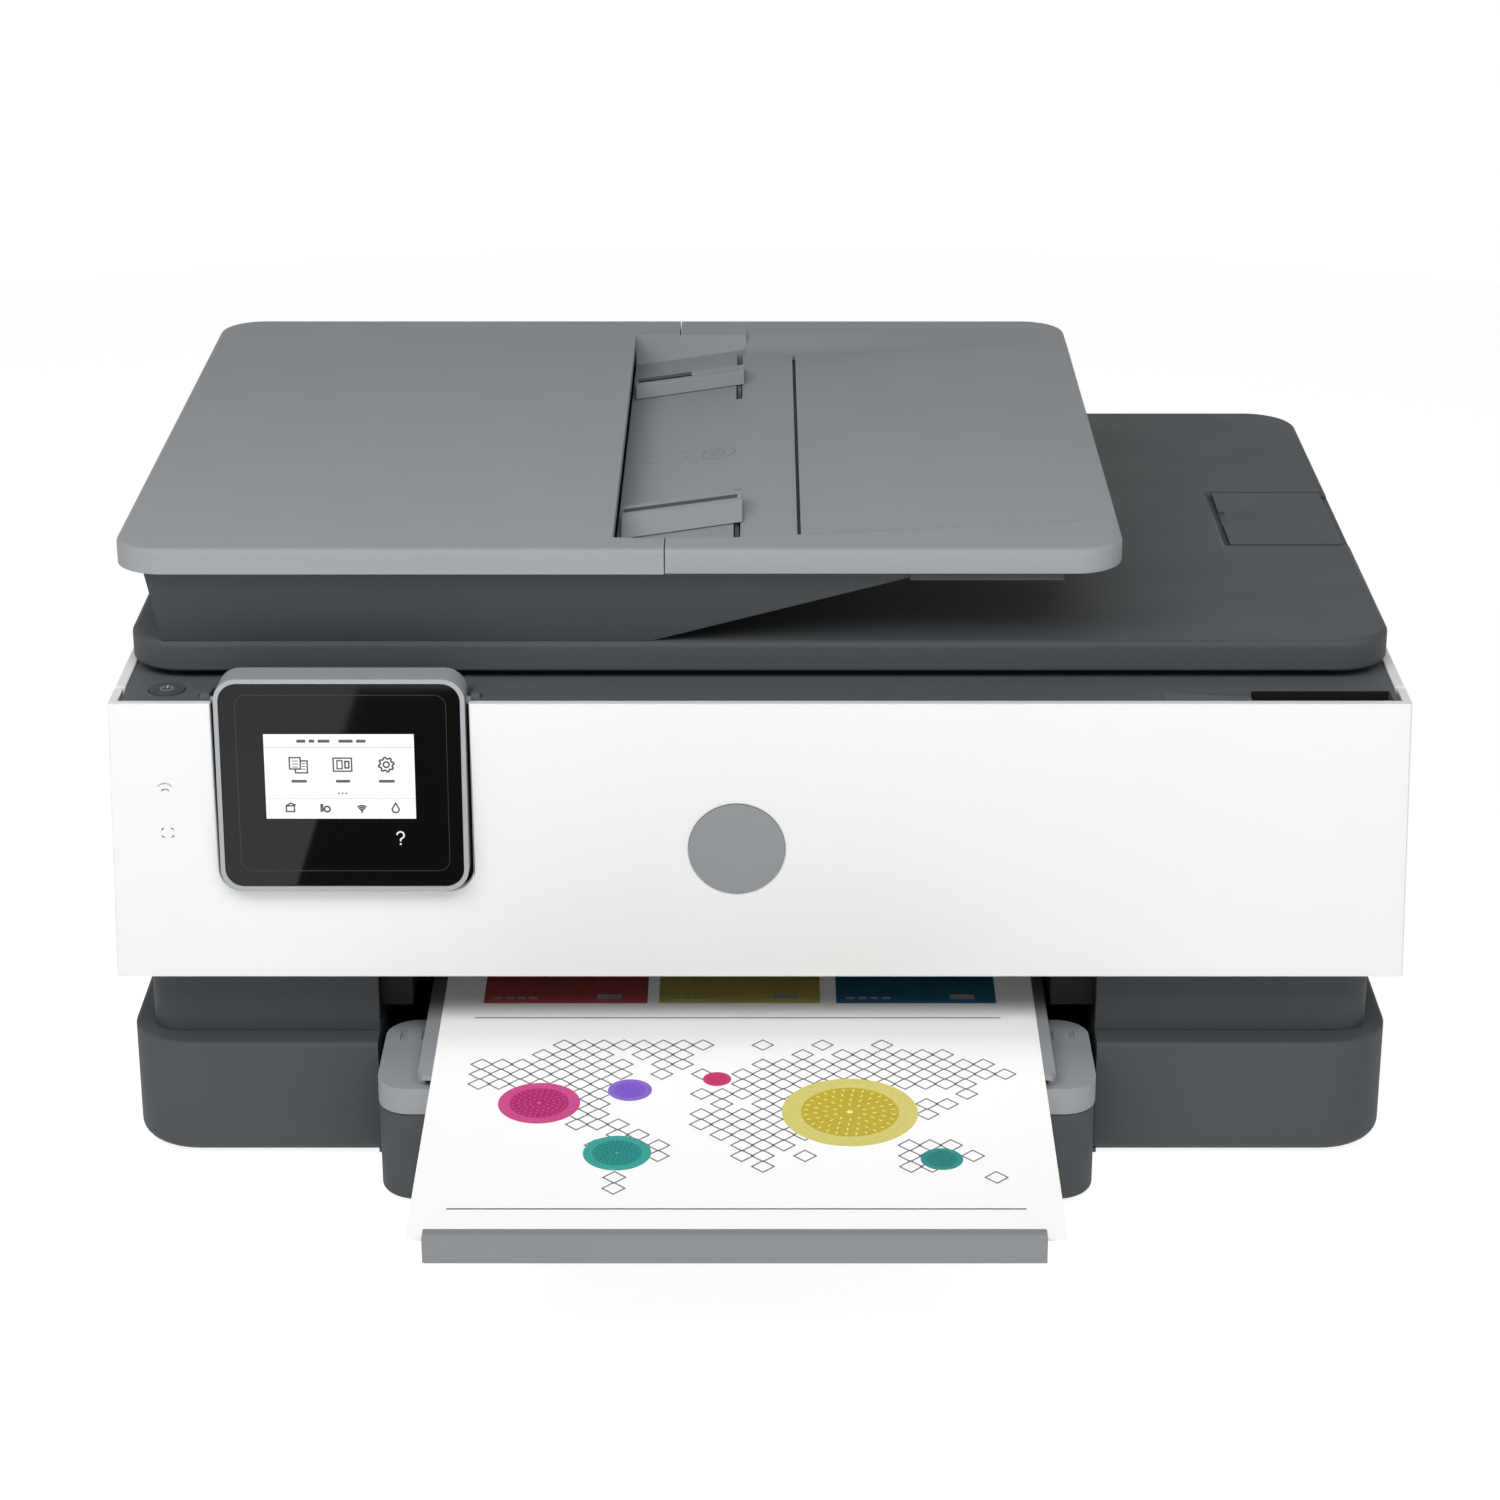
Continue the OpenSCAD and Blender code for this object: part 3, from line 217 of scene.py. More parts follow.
MAT = {
    "white_case": moulded("white_satin", WHITE, 0.42, 0.008, 2200, 0.06, 0.4),
    "dark_case": moulded("dark_textured", DARK, 0.62, 0.02, 1900, 0.3, 0.12),
    "grey_case": moulded("grey_textured", GREY, 0.6, 0.01, 1900, 0.25, 0.14),
    "badge": moulded("badge_grey", srgb(133, 137, 140), 0.4, 0.02, 900, 0.08),
    "panel_glass": glossy("panel_black", srgb(14, 14, 15), 0.03, 0.32),
    "display": lit("display_white", srgb(246, 248, 249), 0.62),
    "inner_black": moulded("inner_black", srgb(30, 31, 33), 0.6, 0.08, 1200, 0.2, 0.25),
    "ink_case": moulded("cartridge_black", srgb(34, 35, 38), 0.4, 0.05, 900, 0.1),
    "steel_parts": metal("zinc_steel", (0.56, 0.57, 0.58, 1)),
    "rubber_feet": moulded("foot_rubber", srgb(26, 26, 27), 0.8, 0.1, 700, 0.3, 0.15),
    "belts": moulded("belt_rubber", srgb(24, 24, 25), 0.75, 0.1, 900, 0.3, 0.15),
    "rollers": moulded("roller_rubber", srgb(92, 95, 98), 0.85, 0.08, 800, 0.4, 0.12),
    "service_unit": moulded("service_dark", srgb(52, 56, 59), 0.6, 0.06, 1200, 0.2, 0.25),
    "gear_plastic": moulded("gear_dark", srgb(44, 46, 48), 0.5, 0.05, 900, 0.12),
    "circuit_board": moulded("board_green", srgb(24, 88, 56), 0.35, 0.15, 160, 0.2, 0.5),
    "supply_case": moulded("supply_grey", srgb(118, 122, 125), 0.45, 0.04, 500, 0.1),
    "lid_foam": moulded("foam_white", srgb(236, 237, 236), 0.7, 0.02, 1400, 0.3, 0.2),
    "sheet_paper": make_paper(),
    "scan_glass": make_glass(),
    "strip": make_film(),
}

# ---------------------------------------------------------------- mesh helpers


def finish_piece(ob, body, mat, replaced=()):
    """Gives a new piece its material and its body."""
    ob.data.materials.clear()
    ob.data.materials.append(mat)
    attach(ob, body)
    if replaced:
        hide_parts(*replaced)
    return ob


def smooth_by_angle(me, degrees=35):
    bm = bmesh.new()
    bm.from_mesh(me)
    limit = math.radians(degrees)
    for f in bm.faces:
        f.smooth = True
    for e in bm.edges:
        e.smooth = len(e.link_faces) == 2 and e.calc_face_angle(0.0) < limit
    bm.to_mesh(me)
    bm.free()


def clean_copy(node):
    """A bmesh copy of a CAD node with shared vertices and flat faces joined up."""
    bm = bmesh.new()
    bm.from_mesh(nodes[node].data)
    bmesh.ops.remove_doubles(bm, verts=bm.verts, dist=0.000004)
    bmesh.ops.dissolve_limit(bm, angle_limit=math.radians(0.6), verts=bm.verts, edges=bm.edges,
                             use_dissolve_boundaries=False)
    bmesh.ops.recalc_face_normals(bm, faces=bm.faces)
    return bm


def edge_info(e):
    """Normals of an edge's two faces, its direction and its middle in millimetres."""
    if len(e.link_faces) != 2:
        return None
    n0, n1 = e.link_faces[0].normal, e.link_faces[1].normal
    a, b = e.verts[0].co, e.verts[1].co
    mid = (a + b) / 2
    return n0, n1, (b - a).normalized(), (mid.x * 1000, mid.y * 1000 + Y_MID, mid.z * 1000)


def convex(e):
    return e.calc_face_angle_signed(0.0) > math.radians(25)


FACING = {"up": (2, 1), "down": (2, -1), "front": (1, -1)}


def pick_edges(bm, kind, x=None, y=None, z=None):
    """Convex edges of one kind whose middle is in a box.

    An up, down or front edge has one face that way and the other across it. A post edge is upright.
    """
    out = []
    for e in bm.edges:
        info = edge_info(e)
        if info is None or not convex(e):
            continue
        n0, n1, d, mid = info
        if any(r and not (r[0] <= v <= r[1]) for r, v in zip((x, y, z), mid)):
            continue
        if kind in FACING:
            axis, sign = FACING[kind]
            p, q = n0[axis] * sign, n1[axis] * sign
            ok = (p > 0.9 and abs(q) < 0.6) or (q > 0.9 and abs(p) < 0.6)
        else:
            ok = abs(d.z) > 0.95 and e.calc_face_angle_signed(0.0) > math.radians(50)
        if ok:
            out.append(e)
    return out


def bevel(bm, edges, width_mm, segments):
    if edges:
        bmesh.ops.bevel(bm, geom=edges, offset=width_mm / 1000.0, segments=segments, profile=0.5,
                        affect="EDGES", clamp_overlap=True, loop_slide=True, miter_outer="SHARP")


def hero(name, node, rules, mat=None, rest=0.3):
    """A finished cover: the CAD node's shape with its own edge radii.

    rules: (kind of edge, width, segments, boxes). rest: width of the small bevel on all other edges.
    """
    bm = clean_copy(node)
    for kind, width, segments, *boxes in rules:
        chosen = {e for b in boxes for e in pick_edges(bm, kind, **b)}
        bevel(bm, list(chosen), width, segments)
    me = bpy.data.meshes.new(name)
    bm.to_mesh(me)
    bm.free()
    smooth_by_angle(me)
    ob = bpy.data.objects.new(name, me)
    bpy.context.scene.collection.objects.link(ob)
    m = ob.modifiers.new("edges", "BEVEL")
    m.width = rest / 1000.0
    m.segments = 2
    m.limit_method = "ANGLE"
    m.angle_limit = math.radians(50)
    m.use_clamp_overlap = True
    w = ob.modifiers.new("normals", "WEIGHTED_NORMAL")
    w.keep_sharp = True
    finish_piece(ob, body_of[node], mat or MAT[slot_of[node]], (node,))


def dress(node, width, mat=None):
    """Material and small moulded edges on a CAD node that is shown as it is."""
    ob = nodes[node]
    ob.data.materials.clear()
    ob.data.materials.append(mat or MAT[slot_of[node]])
    w = ob.modifiers.new("weld", "WELD")
    w.merge_threshold = 0.000004
    if width:
        b = ob.modifiers.new("edges", "BEVEL")
        b.width = width / 1000.0
        b.segments = 2
        b.limit_method = "ANGLE"
        b.angle_limit = math.radians(40)
        b.use_clamp_overlap = True
        n = ob.modifiers.new("normals", "WEIGHTED_NORMAL")
        n.keep_sharp = True


def mesh_piece(name, verts, faces, body, slot_name, mat, smooth=None):
    """A new piece from vertices and faces. smooth: edges under this angle are shaded smooth."""
    me = bpy.data.meshes.new(name)
    me.from_pydata([tuple(v) for v in verts], [], faces)
    me.validate()
    bm = bmesh.new()
    bm.from_mesh(me)
    bmesh.ops.recalc_face_normals(bm, faces=bm.faces)
    bm.to_mesh(me)
    bm.free()
    if smooth:
        smooth_by_angle(me, smooth)
    ob = bpy.data.objects.new(name, me)
    bpy.context.scene.collection.objects.link(ob)
    return finish_piece(ob, body, mat)


def prism(outlines, place, low, high):
    """Closed thin solids from 2D outlines (mm). place(u, v, h) gives a point in the frame."""
    verts, faces = [], []
    for outline in outlines:
        n = len(outline)
        base = len(verts)
        verts += [place(u, v, low) for u, v in outline] + [place(u, v, high) for u, v in outline]
        faces.append([base + n + i for i in range(n)])
        faces.append([base + n - 1 - i for i in range(n)])
        for i in range(n):
            j = (i + 1) % n
            faces.append([base + i, base + j, base + n + j, base + n + i])
    return verts, faces


def decals(name, outlines, place, body, slot_name, mat, low, high):
    """Print or raised marks: thin solids from low to high (mm) about a surface."""
    v, f = prism(outlines, place, low, high)
    mesh_piece(name, v, f, body, slot_name, mat)


def disc_outline(cu, cv, r, n):
    angles = [2 * math.pi * i / n for i in range(n)]
    return [(cu + r * math.cos(a), cv + r * math.sin(a)) for a in angles]


def rect_outline(u0, v0, u1, v1, r=0.0, n=5):
    if r <= 0:
        return [(u0, v0), (u1, v0), (u1, v1), (u0, v1)]
    pts = []
    corners = ((u1 - r, v0 + r, -90), (u1 - r, v1 - r, 0), (u0 + r, v1 - r, 90), (u0 + r, v0 + r, 180))
    for cu, cv, a in corners:
        for i in range(n + 1):
            t = math.radians(a + 90 * i / n)
            pts.append((cu + r * math.cos(t), cv + r * math.sin(t)))
    return pts


def stroke(points, width, closed=False):
    """Quads that follow a line of points, as separate outlines with square ends."""
    out = []
    n = len(points)
    for i in range(n if closed else n - 1):
        (u0, v0), (u1, v1) = points[i], points[(i + 1) % n]
        length = math.hypot(u1 - u0, v1 - v0)
        if length < 1e-6:
            continue
        du, dv = (u1 - u0) / length, (v1 - v0) / length
        h = width / 2
        u0, v0, u1, v1 = u0 - du * h * 0.6, v0 - dv * h * 0.6, u1 + du * h * 0.6, v1 + dv * h * 0.6
        out.append([(u0 + dv * h, v0 - du * h), (u1 + dv * h, v1 - du * h),
                    (u1 - dv * h, v1 + du * h), (u0 - dv * h, v0 + du * h)])
    return out


def arc(cu, cv, r, a0, a1, n):
    return [(cu + r * math.cos(math.radians(a0 + (a1 - a0) * i / n)),
             cv + r * math.sin(math.radians(a0 + (a1 - a0) * i / n))) for i in range(n + 1)]


# ---------------------------------------------------------------- camera, light and floor

KEY_POWER = 10.3
FLOOR_GLOW = 0.86

camera = bpy.data.objects.new("camera", bpy.data.cameras.new("camera"))
bpy.context.scene.collection.objects.link(camera)
camera.location = P(0, -1196.8, 639.8)
camera.rotation_euler = (math.radians(68.28), 0, 0)
camera.data.lens = 88.56
camera.data.sensor_width = 36
camera.data.shift_x = -0.00667
camera.data.clip_start = 0.05
bpy.context.scene.camera = camera


def area(name, location, target, size, power):
    """A soft rectangular light. Places are in metres in the frame."""
    light = bpy.data.lights.new(name, "AREA")
    light.shape = "RECTANGLE"
    light.size, light.size_y = size
    light.energy = power
    ob = bpy.data.objects.new(name, light)
    ob.location = location
    ob.rotation_euler = (Vector(target) - Vector(location)).to_track_quat("-Z", "Y").to_euler()
    bpy.context.scene.collection.objects.link(ob)


area("key", (-0.15, -0.66, 0.86), (0, 0.0, 0.16), (1.5, 0.4), KEY_POWER)
area("fill", (1.1, -1.2, 0.9), (0, 0, 0.15), (0.9, 0.9), 1.2)
area("front", (0.0, -2.3, 0.5), (0, 0, 0.12), (2.4, 0.5), 3.2)
area("rear", (0.0, 2.4, 0.35), (0, 0.2, 0.1), (2.4, 0.5), 6)

world = bpy.data.worlds.new("studio")
world.use_nodes = True
world.node_tree.nodes["Background"].inputs["Color"].default_value = (1, 1, 1, 1)
world.node_tree.nodes["Background"].inputs["Strength"].default_value = 0.1
bpy.context.scene.world = world
bpy.context.scene.view_settings.view_transform = "Standard"


def stage_piece(name, verts, faces, glow, albedo):
    """A backdrop that isn't part of the printer. Units are metres."""
    me = bpy.data.meshes.new(name)
    me.from_pydata(verts, [], faces)
    ob = bpy.data.objects.new(name, me)
    bpy.context.scene.collection.objects.link(ob)
    mat, tree, s = new_material(name + "_plain")
    s.inputs["Base Color"].default_value = (albedo, albedo, albedo, 1)
    s.inputs["Roughness"].default_value = 0.9
    s.inputs["Specular IOR Level"].default_value = 0.0
    s.inputs["Emission Color"].default_value = (1, 1, 1, 1)
    s.inputs["Emission Strength"].default_value = glow
    me.materials.append(mat)
    return ob


FLOOR_Z = -0.0002
FLOOR_HALF = 6
floor_corners = ((-1, -1), (1, -1), (1, 1), (-1, 1))
stage_piece("floor", [(FLOOR_HALF * x, FLOOR_HALF * y, FLOOR_Z) for x, y in floor_corners], [[0, 1, 2, 3]],
            FLOOR_GLOW, 0.5)


def surround_mesh(near, far, z, sides):
    """The far floor and a dome over it, as rings of vertices from the near radius to the top."""
    rings = [(near, z), (far, z)]
    for degrees in (15, 30, 45, 60, 75, 89):
        a = math.radians(degrees)
        rings.append((far * math.cos(a), far * math.sin(a)))
    turn = 2 * math.pi / sides
    verts = [(r * math.cos(turn * i), r * math.sin(turn * i), h) for r, h in rings for i in range(sides)]
    faces = []
    for k in range(len(rings) - 1):
        for i in range(sides):
            j = (i + 1) % sides
            faces.append([k * sides + i, k * sides + j, (k + 1) * sides + j, (k + 1) * sides + i])
    return verts, faces


# white surround: background and reflections only, so it throws no diffuse light on the printer
surround = stage_piece("surround", *surround_mesh(1.3, 5.9, FLOOR_Z + 0.0001, 48), 1.0, 0.0)
surround.visible_diffuse = surround.visible_shadow = False

# black flag in front of the printer, seen only in reflections: it darkens part of the touch glass
FLAG_Y = -0.45
flag_outline = ((-0.212, 0.001), (0.02, 0.001), (0.02, 0.096), (-0.181, 0.096))
flag = stage_piece("flag", [(x, FLAG_Y, z) for x, z in flag_outline], [[0, 1, 2, 3]], 0.0, 0.004)
flag.visible_camera = flag.visible_shadow = flag.visible_diffuse = False

# ---------------------------------------------------------------- covers

hero("lid_shell", "lid_cover", [
    ("up", 2.6, 5, dict(z=(193.0, 194.2), x=(-225, 225), y=(24, 311))),
    ("down", 1.2, 3, dict(z=(182, 183), x=(-225, 225))),
])
hero("feeder_cover_shell", "adf_cover", [
    ("up", 2.0, 5, dict(z=(233.5, 234.5), y=(8, 12)), dict(z=(233.5, 234.5), y=(306, 311)),
     dict(z=(233.5, 234.5), x=(-225, -206))),
    ("down", 0.8, 3, dict(z=(224, 225.2))),
], rest=0.25)
hero("feeder_body_shell", "adf_base", [
    ("post", 6.0, 5, dict(z=(200, 222), x=(-216, -205))),
], rest=0.4)
hero("drawer_shell", "input_tray", [
    ("down", 4.5, 5, dict(z=(1.5, 2.5), y=(-32, -8))),
    ("up", 0.8, 3, dict(z=(35.9, 36.3))),
])
hero("output_tray_shell", "output_tray", [
    ("up", 1.4, 4, dict(z=(46.3, 46.7))),
    ("down", 0.7, 3, dict(z=(36.0, 36.4))),
], rest=0.2)
hero("door_shell", "front_door", [
    ("front", 0.8, 4, dict(z=(70, 190))),
])
hero("panel_shell", "panel_housing", [
    ("front", 1.2, 5, dict(y=(-7, 1), z=(100, 190))),
], moulded("grey_light", srgb(158, 162, 166), 0.5, 0.01, 1900, 0.2, 0.3))
hero("stop_bar_shell", "tray_extension", [
    ("up", 1.2, 4, dict(z=(52.4, 53.0))),
    ("down", 1.0, 3, dict(z=(41.7, 42.1))),
], moulded("grey_stop", srgb(131, 135, 138), 0.6, 0.01, 1900, 0.25, 0.14))

# the base: two side blocks with rounded edges, the floor of the drawer bay and the back wall
BAY = (-138.6, 122.2)           # sides of the drawer bay
BASE_TOP = 46.3
BLOCK_X = 229.5                 # outer side of the base
BLOCK_Y = (6.2, 306.0)          # front and back of the base
BLOCK_FRONT_R, BLOCK_REAR_R = 24.0, 10.0


def loft(loops):
    """Closed skin through loops of equal length, with a cap at each end."""
    n = len(loops[0])
    verts = [p for loop in loops for p in loop]
    faces = [list(range(n)), [(len(loops) - 1) * n + i for i in range(n)]]
    for k in range(len(loops) - 1):
        for i in range(n):
            j = (i + 1) % n
            faces.append([k * n + i, k * n + j, (k + 1) * n + j, (k + 1) * n + i])
    return verts, faces


def base_block(side, bay_x):
    """One side block. side -1 is the left one."""
    points = [(bay_x, BLOCK_Y[0], 0, -1), (bay_x, BLOCK_Y[1] - 0.2, 0, 0)]
    for cy, r, start in ((BLOCK_Y[1] - BLOCK_REAR_R, BLOCK_REAR_R, 90),
                         (BLOCK_Y[0] + BLOCK_FRONT_R, BLOCK_FRONT_R, 0)):
        cx = BLOCK_X - r
        for i in range(13):
            a = math.radians(start - 90 * i / 12)
            nx, ny = side * math.cos(a), math.sin(a)
            points.append((side * cx + r * nx, cy + r * ny, nx, ny))
    loops = []
    for z, inset in round_profile(1.6, BASE_TOP, 5.0, 1.6):
        loops.append([P(x - nx * inset, y - ny * inset, z) for x, y, nx, ny in points])
    return loft(loops)


def round_profile(z0, z1, low_r, top_r, steps=6):
    """Heights and insets of a wall with a rounded lower and upper edge."""
    out = []
    for i in range(steps + 1):
        a = math.radians(90 * i / steps)
        out.append((z0 + low_r - low_r * math.cos(a), low_r - low_r * math.sin(a)))
    for i in range(steps + 1):
        a = math.radians(90 * i / steps)
        out.append((z1 - top_r + top_r * math.sin(a), top_r - top_r * math.cos(a)))
    return out


def box(x, y, z):
    """Verts and faces of a plain block."""
    v = [P(x[i], y[j], z[k]) for k in (0, 1) for j in (0, 1) for i in (0, 1)]
    return v, [[0, 1, 3, 2], [4, 5, 7, 6], [0, 1, 5, 4], [2, 3, 7, 6], [0, 2, 6, 4], [1, 3, 7, 5]]


def joined(parts):
    """One mesh from several (verts, faces)."""
    verts, faces = [], []
    for v, f in parts:
        base = len(verts)
        verts += v
        faces += [[base + i for i in face] for face in f]
    return verts, faces


base = mesh_piece("base_shell", *joined([
    base_block(-1, BAY[0]), base_block(1, BAY[1]),
    box((BAY[0] - 1, BAY[1] + 1), (6.6, 304), (1.6, 3.2)),
    box((BAY[0] - 1, BAY[1] + 1), (303, 305.9), (2, BASE_TOP)),
]), "chassis", "dark_case", MAT["dark_case"], smooth=30)
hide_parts("base_case")

# the feeder tray: one smooth skin with the guide pocket, the ramps and the seat of the extension
RIM_Z, TOP_Z = 224.8, 234.0
TRAY = (-32.8, 126.3, 8.7, 309.6)           # left, right, front and back
CORNER = 17.0
POCKET = (-51.3, -5.6, 20.7, 286.6)         # the same for the guide pocket
FEED_EDGE_Z, POCKET_SLOPE = 221.4, 0.1488
SUPPORT_Z = 228.2                           # the level part at the right of the pocket
SEAT = (13.2, 42.0, 276.0)                  # left, front and back of the extension's seat
SEAT_SLOPE = 0.0522
SEAT_DEPTH = 2.3
RAMP_W = 20.0
FRONT_WALL_W, REAR_WALL_W = 2.6, 1.5        # soft walls of the pocket
EDGE_R = 2.0                                # rounding of the outer edge
FOOT_SLOT_X = (-9.4, -7.0)
FOOT_SLOTS_Y = ((27.5, 96.5), (213.5, 282.5))
HINGE_X, HINGE_Z = 121.5, 231.8             # round seat of the extension's hinge
HINGE_R_SQUARED = 27.0


def smooth_step(t):
    t = min(max(t, 0.0), 1.0)
    return t * t * (3 - 2 * t)


def pocket_floor(x):
    return FEED_EDGE_Z + (x - POCKET[0]) * POCKET_SLOPE


def tray_right(y):
    """Right edge of the tray, which has two round corners."""
    d = min(y - TRAY[2], TRAY[3] - y)
    if d >= CORNER:
        return TRAY[1]
    return TRAY[1] - CORNER + math.sqrt(max(CORNER ** 2 - (CORNER - d) ** 2, 0.0))


def tray_edge(x, y):
    """Distance to the outer edge of the tray."""
    d = min(y - TRAY[2], TRAY[3] - y, TRAY[1] - x)
    cx = TRAY[1] - CORNER
    front, back = TRAY[2] + CORNER, TRAY[3] - CORNER
    if x > cx and not front <= y <= back:
        d = CORNER - math.hypot(x - cx, y - (front if y < front else back))
    return max(d, 0.0)


def tray_height(x, y):
    """Height of the tray's upper face: pocket, level part, ramps, seat and rounded outer edge."""
    floor_z = pocket_floor(x)
    if x < POCKET[1]:
        lip = 1.3 * ((x + 28.5) / 22.8) ** 2
        rise = smooth_step((POCKET[2] + lip + FRONT_WALL_W - y) / FRONT_WALL_W)
        rise = max(rise, smooth_step((y - POCKET[3] + REAR_WALL_W) / REAR_WALL_W))
        if y < POCKET[2] or y > POCKET[3]:
            rise = 1.0
        z = floor_z + (TOP_Z - floor_z) * rise
        if FOOT_SLOT_X[0] < x < FOOT_SLOT_X[1] and any(a < y < b for a, b in FOOT_SLOTS_Y):
            z -= 6.0
    else:
        level = SUPPORT_Z
        if x > SEAT[0]:
            level = min(SUPPORT_Z + 0.05 + (x - SEAT[0]) * SEAT_SLOPE, TOP_Z)
        rise = max(smooth_step((SEAT[1] - 0.5 - y) / RAMP_W), smooth_step((y - SEAT[2] - 0.5) / RAMP_W))
        z = level + (TOP_Z - level) * rise
        if x > SEAT[0] and SEAT[1] < y < SEAT[2]:
            z = level - SEAT_DEPTH
            if x > HINGE_X - 6.5:
                z = min(z, HINGE_Z - math.sqrt(max(HINGE_R_SQUARED - (x - HINGE_X) ** 2, 5.0)))
    d = tray_edge(x, y)
    if d < EDGE_R:
        z = min(z, TOP_Z - EDGE_R + math.sqrt(max(EDGE_R ** 2 - (EDGE_R - d) ** 2, 0.0)))
    return z


def spread(a, b, step):
    n = max(1, round((b - a) / step))
    return [a + (b - a) * i / n for i in range(n + 1)]


def sharp(v):
    """Two grid lines close together, for a step in the surface."""
    return [v - 0.01, v + 0.01]


BEND_X = 60.0                               # right of this the grid lines follow the round corners


def tray_mesh():
    """Skin of the tray: a grid over its upper face, an outer rim, a flat underside and two ends."""
    (front_slot0, front_slot1), (rear_slot0, rear_slot1) = FOOT_SLOTS_Y
    near = [0.0, 0.08, 0.3, 0.7, 1.25, 2.0]
    xs = spread(POCKET[0], -33.5, 3) + [TRAY[0]] + spread(-31, -9.9, 3)
    xs += sharp(FOOT_SLOT_X[0]) + sharp(FOOT_SLOT_X[1]) + sharp(POCKET[1])
    xs += spread(-4, 12.6, 3.2) + sharp(SEAT[0])
    xs += spread(14, 108, 5) + spread(111, 124, 1.6) + [TRAY[1] - d for d in reversed(near[:-1])]
    ys = [TRAY[2] + d for d in near] + [12.0, 14.0, 16.5, 19.0] + sharp(POCKET[2])
    ys += spread(21.4, 27.4, 0.6) + sharp(front_slot0) + spread(28.5, 41, 1.8) + sharp(SEAT[1])
    ys += spread(48, 94, 6) + sharp(front_slot1) + spread(102, 210, 9) + sharp(rear_slot0)
    ys += spread(219, 272, 6)
    ys += sharp(SEAT[2]) + [278.0, 280.0, 282.0] + sharp(rear_slot1) + spread(283.2, 286.2, 0.6)
    ys += sharp(POCKET[3]) + spread(289, 305.5, 2.4) + [TRAY[3] - d for d in reversed(near)]

    verts, faces, at = [], [], {}
    for j, y in enumerate(ys):
        for i, x in enumerate(xs):
            if x < TRAY[0] and not POCKET[2] < y < POCKET[3]:
                continue
            right = tray_right(y)
            px = x
            if x > BEND_X:
                px = BEND_X + (x - BEND_X) * (right - BEND_X) / (TRAY[1] - BEND_X)
            at[i, j] = len(verts)
            verts.append(P(px, y, tray_height(px, y)))
    for j in range(len(ys) - 1):
        for i in range(len(xs) - 1):
            corner = [(i, j), (i + 1, j), (i + 1, j + 1), (i, j + 1)]
            if all(c in at for c in corner):
                faces.append([at[c] for c in corner])
    first = xs.index(TRAY[0])
    last_i, last_j = len(xs) - 1, len(ys) - 1
    rim = [(i, 0) for i in range(first, last_i + 1)] + [(last_i, j) for j in range(1, last_j + 1)]
    rim += [(i, last_j) for i in range(last_i - 1, first - 1, -1)]
    loops = [[at[c] for c in rim]]
    for drop, inset in ((RIM_Z + 0.8, 0.0), (RIM_Z + 0.25, 0.2), (RIM_Z, 0.8)):
        loop = []
        for c in rim:
            top = verts[at[c]]
            x, y = top.x * 1000, top.y * 1000 + Y_MID
            cx, cy = TRAY[1] - CORNER, min(max(y, TRAY[2] + CORNER), TRAY[3] - CORNER)
            n = Vector((max(x - cx, 0.0), y - cy)) if x > cx else Vector((0.0, -1.0 if y < 100 else 1.0))
            n.normalize()
            loop.append(len(verts))
            verts.append(P(x - n.x * inset, y - n.y * inset, drop))
        loops.append(loop)
    for a, b in zip(loops, loops[1:]):
        for i in range(len(a) - 1):
            faces.append([a[i], b[i], b[i + 1], a[i + 1]])
    # flat underside, open over the guide racks
    inner = []
    for x, y in ((TRAY[0], 287), (-5, 287), (-5, 20), (TRAY[0], 20)):
        inner.append(len(verts))
        verts.append(P(x, y, RIM_Z))
    faces.append(loops[-1] + inner)
    # ends at the joint with the cover
    for row in (range(0, ys.index(POCKET[2] - 0.01) + 1), range(ys.index(POCKET[3] + 0.01), last_j + 1)):
        upper = [at[first, j] for j in row]
        lower = []
        for j in row:
            lower.append(len(verts))
            verts.append(P(TRAY[0], ys[j], RIM_Z))
        faces.append(upper + lower[::-1])
    return verts, faces


tray = mesh_piece("feeder_tray_shell", *tray_mesh(), "scanner_lid", "grey_case", MAT["grey_case"], smooth=40)
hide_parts("adf_tray")

# painted shadow: a black strip on the floor of the slot at the free end of the extension
slot_shadow_strip = box((13.25, 14.45), (42.3, 275.7), (225.9, 226.1))
mesh_piece("extension_slot_painted_shadow", *slot_shadow_strip, "scanner_lid", "inner_black", MAT["inner_black"])

GUIDE_MID = 155.0               # halfway between the two guides


def guide(name, node, side):
    """An edge guide whose outer half slopes down to the support. side -1 is the front one."""
    bm = clean_copy(node)
    y_high, y_low = GUIDE_MID + side * 89, GUIDE_MID + side * 99.4  # where the slope starts and ends
    drop = 4.4
    normal = Vector((1, 0, POCKET_SLOPE)).cross(Vector((0, y_low - y_high, -drop))) * -side
    if normal.z < 0:
        normal.negate()
    # the sloping plane cuts the top at its middle
    bmesh.ops.bisect_plane(bm, geom=bm.verts[:] + bm.edges[:] + bm.faces[:], dist=1e-6,
                           plane_co=P(-28.5, y_high, 230.1), plane_no=normal, clear_outer=True)
    bmesh.ops.holes_fill(bm, edges=[e for e in bm.edges if e.is_boundary], sides=0)
    bmesh.ops.recalc_face_normals(bm, faces=bm.faces)
    me = bpy.data.meshes.new(name)
    bm.to_mesh(me)
    bm.free()
    smooth_by_angle(me)
    ob = bpy.data.objects.new(name, me)
    bpy.context.scene.collection.objects.link(ob)
    m = ob.modifiers.new("edges", "BEVEL")
    m.width = 0.0005
    m.segments = 3
    m.limit_method = "ANGLE"
    m.angle_limit = math.radians(14)
    finish_piece(ob, body_of[node], MAT[slot_of[node]], (node,))


guide("feeder_guide_front_body", "guide_front", -1)
guide("feeder_guide_rear_body", "guide_rear", 1)


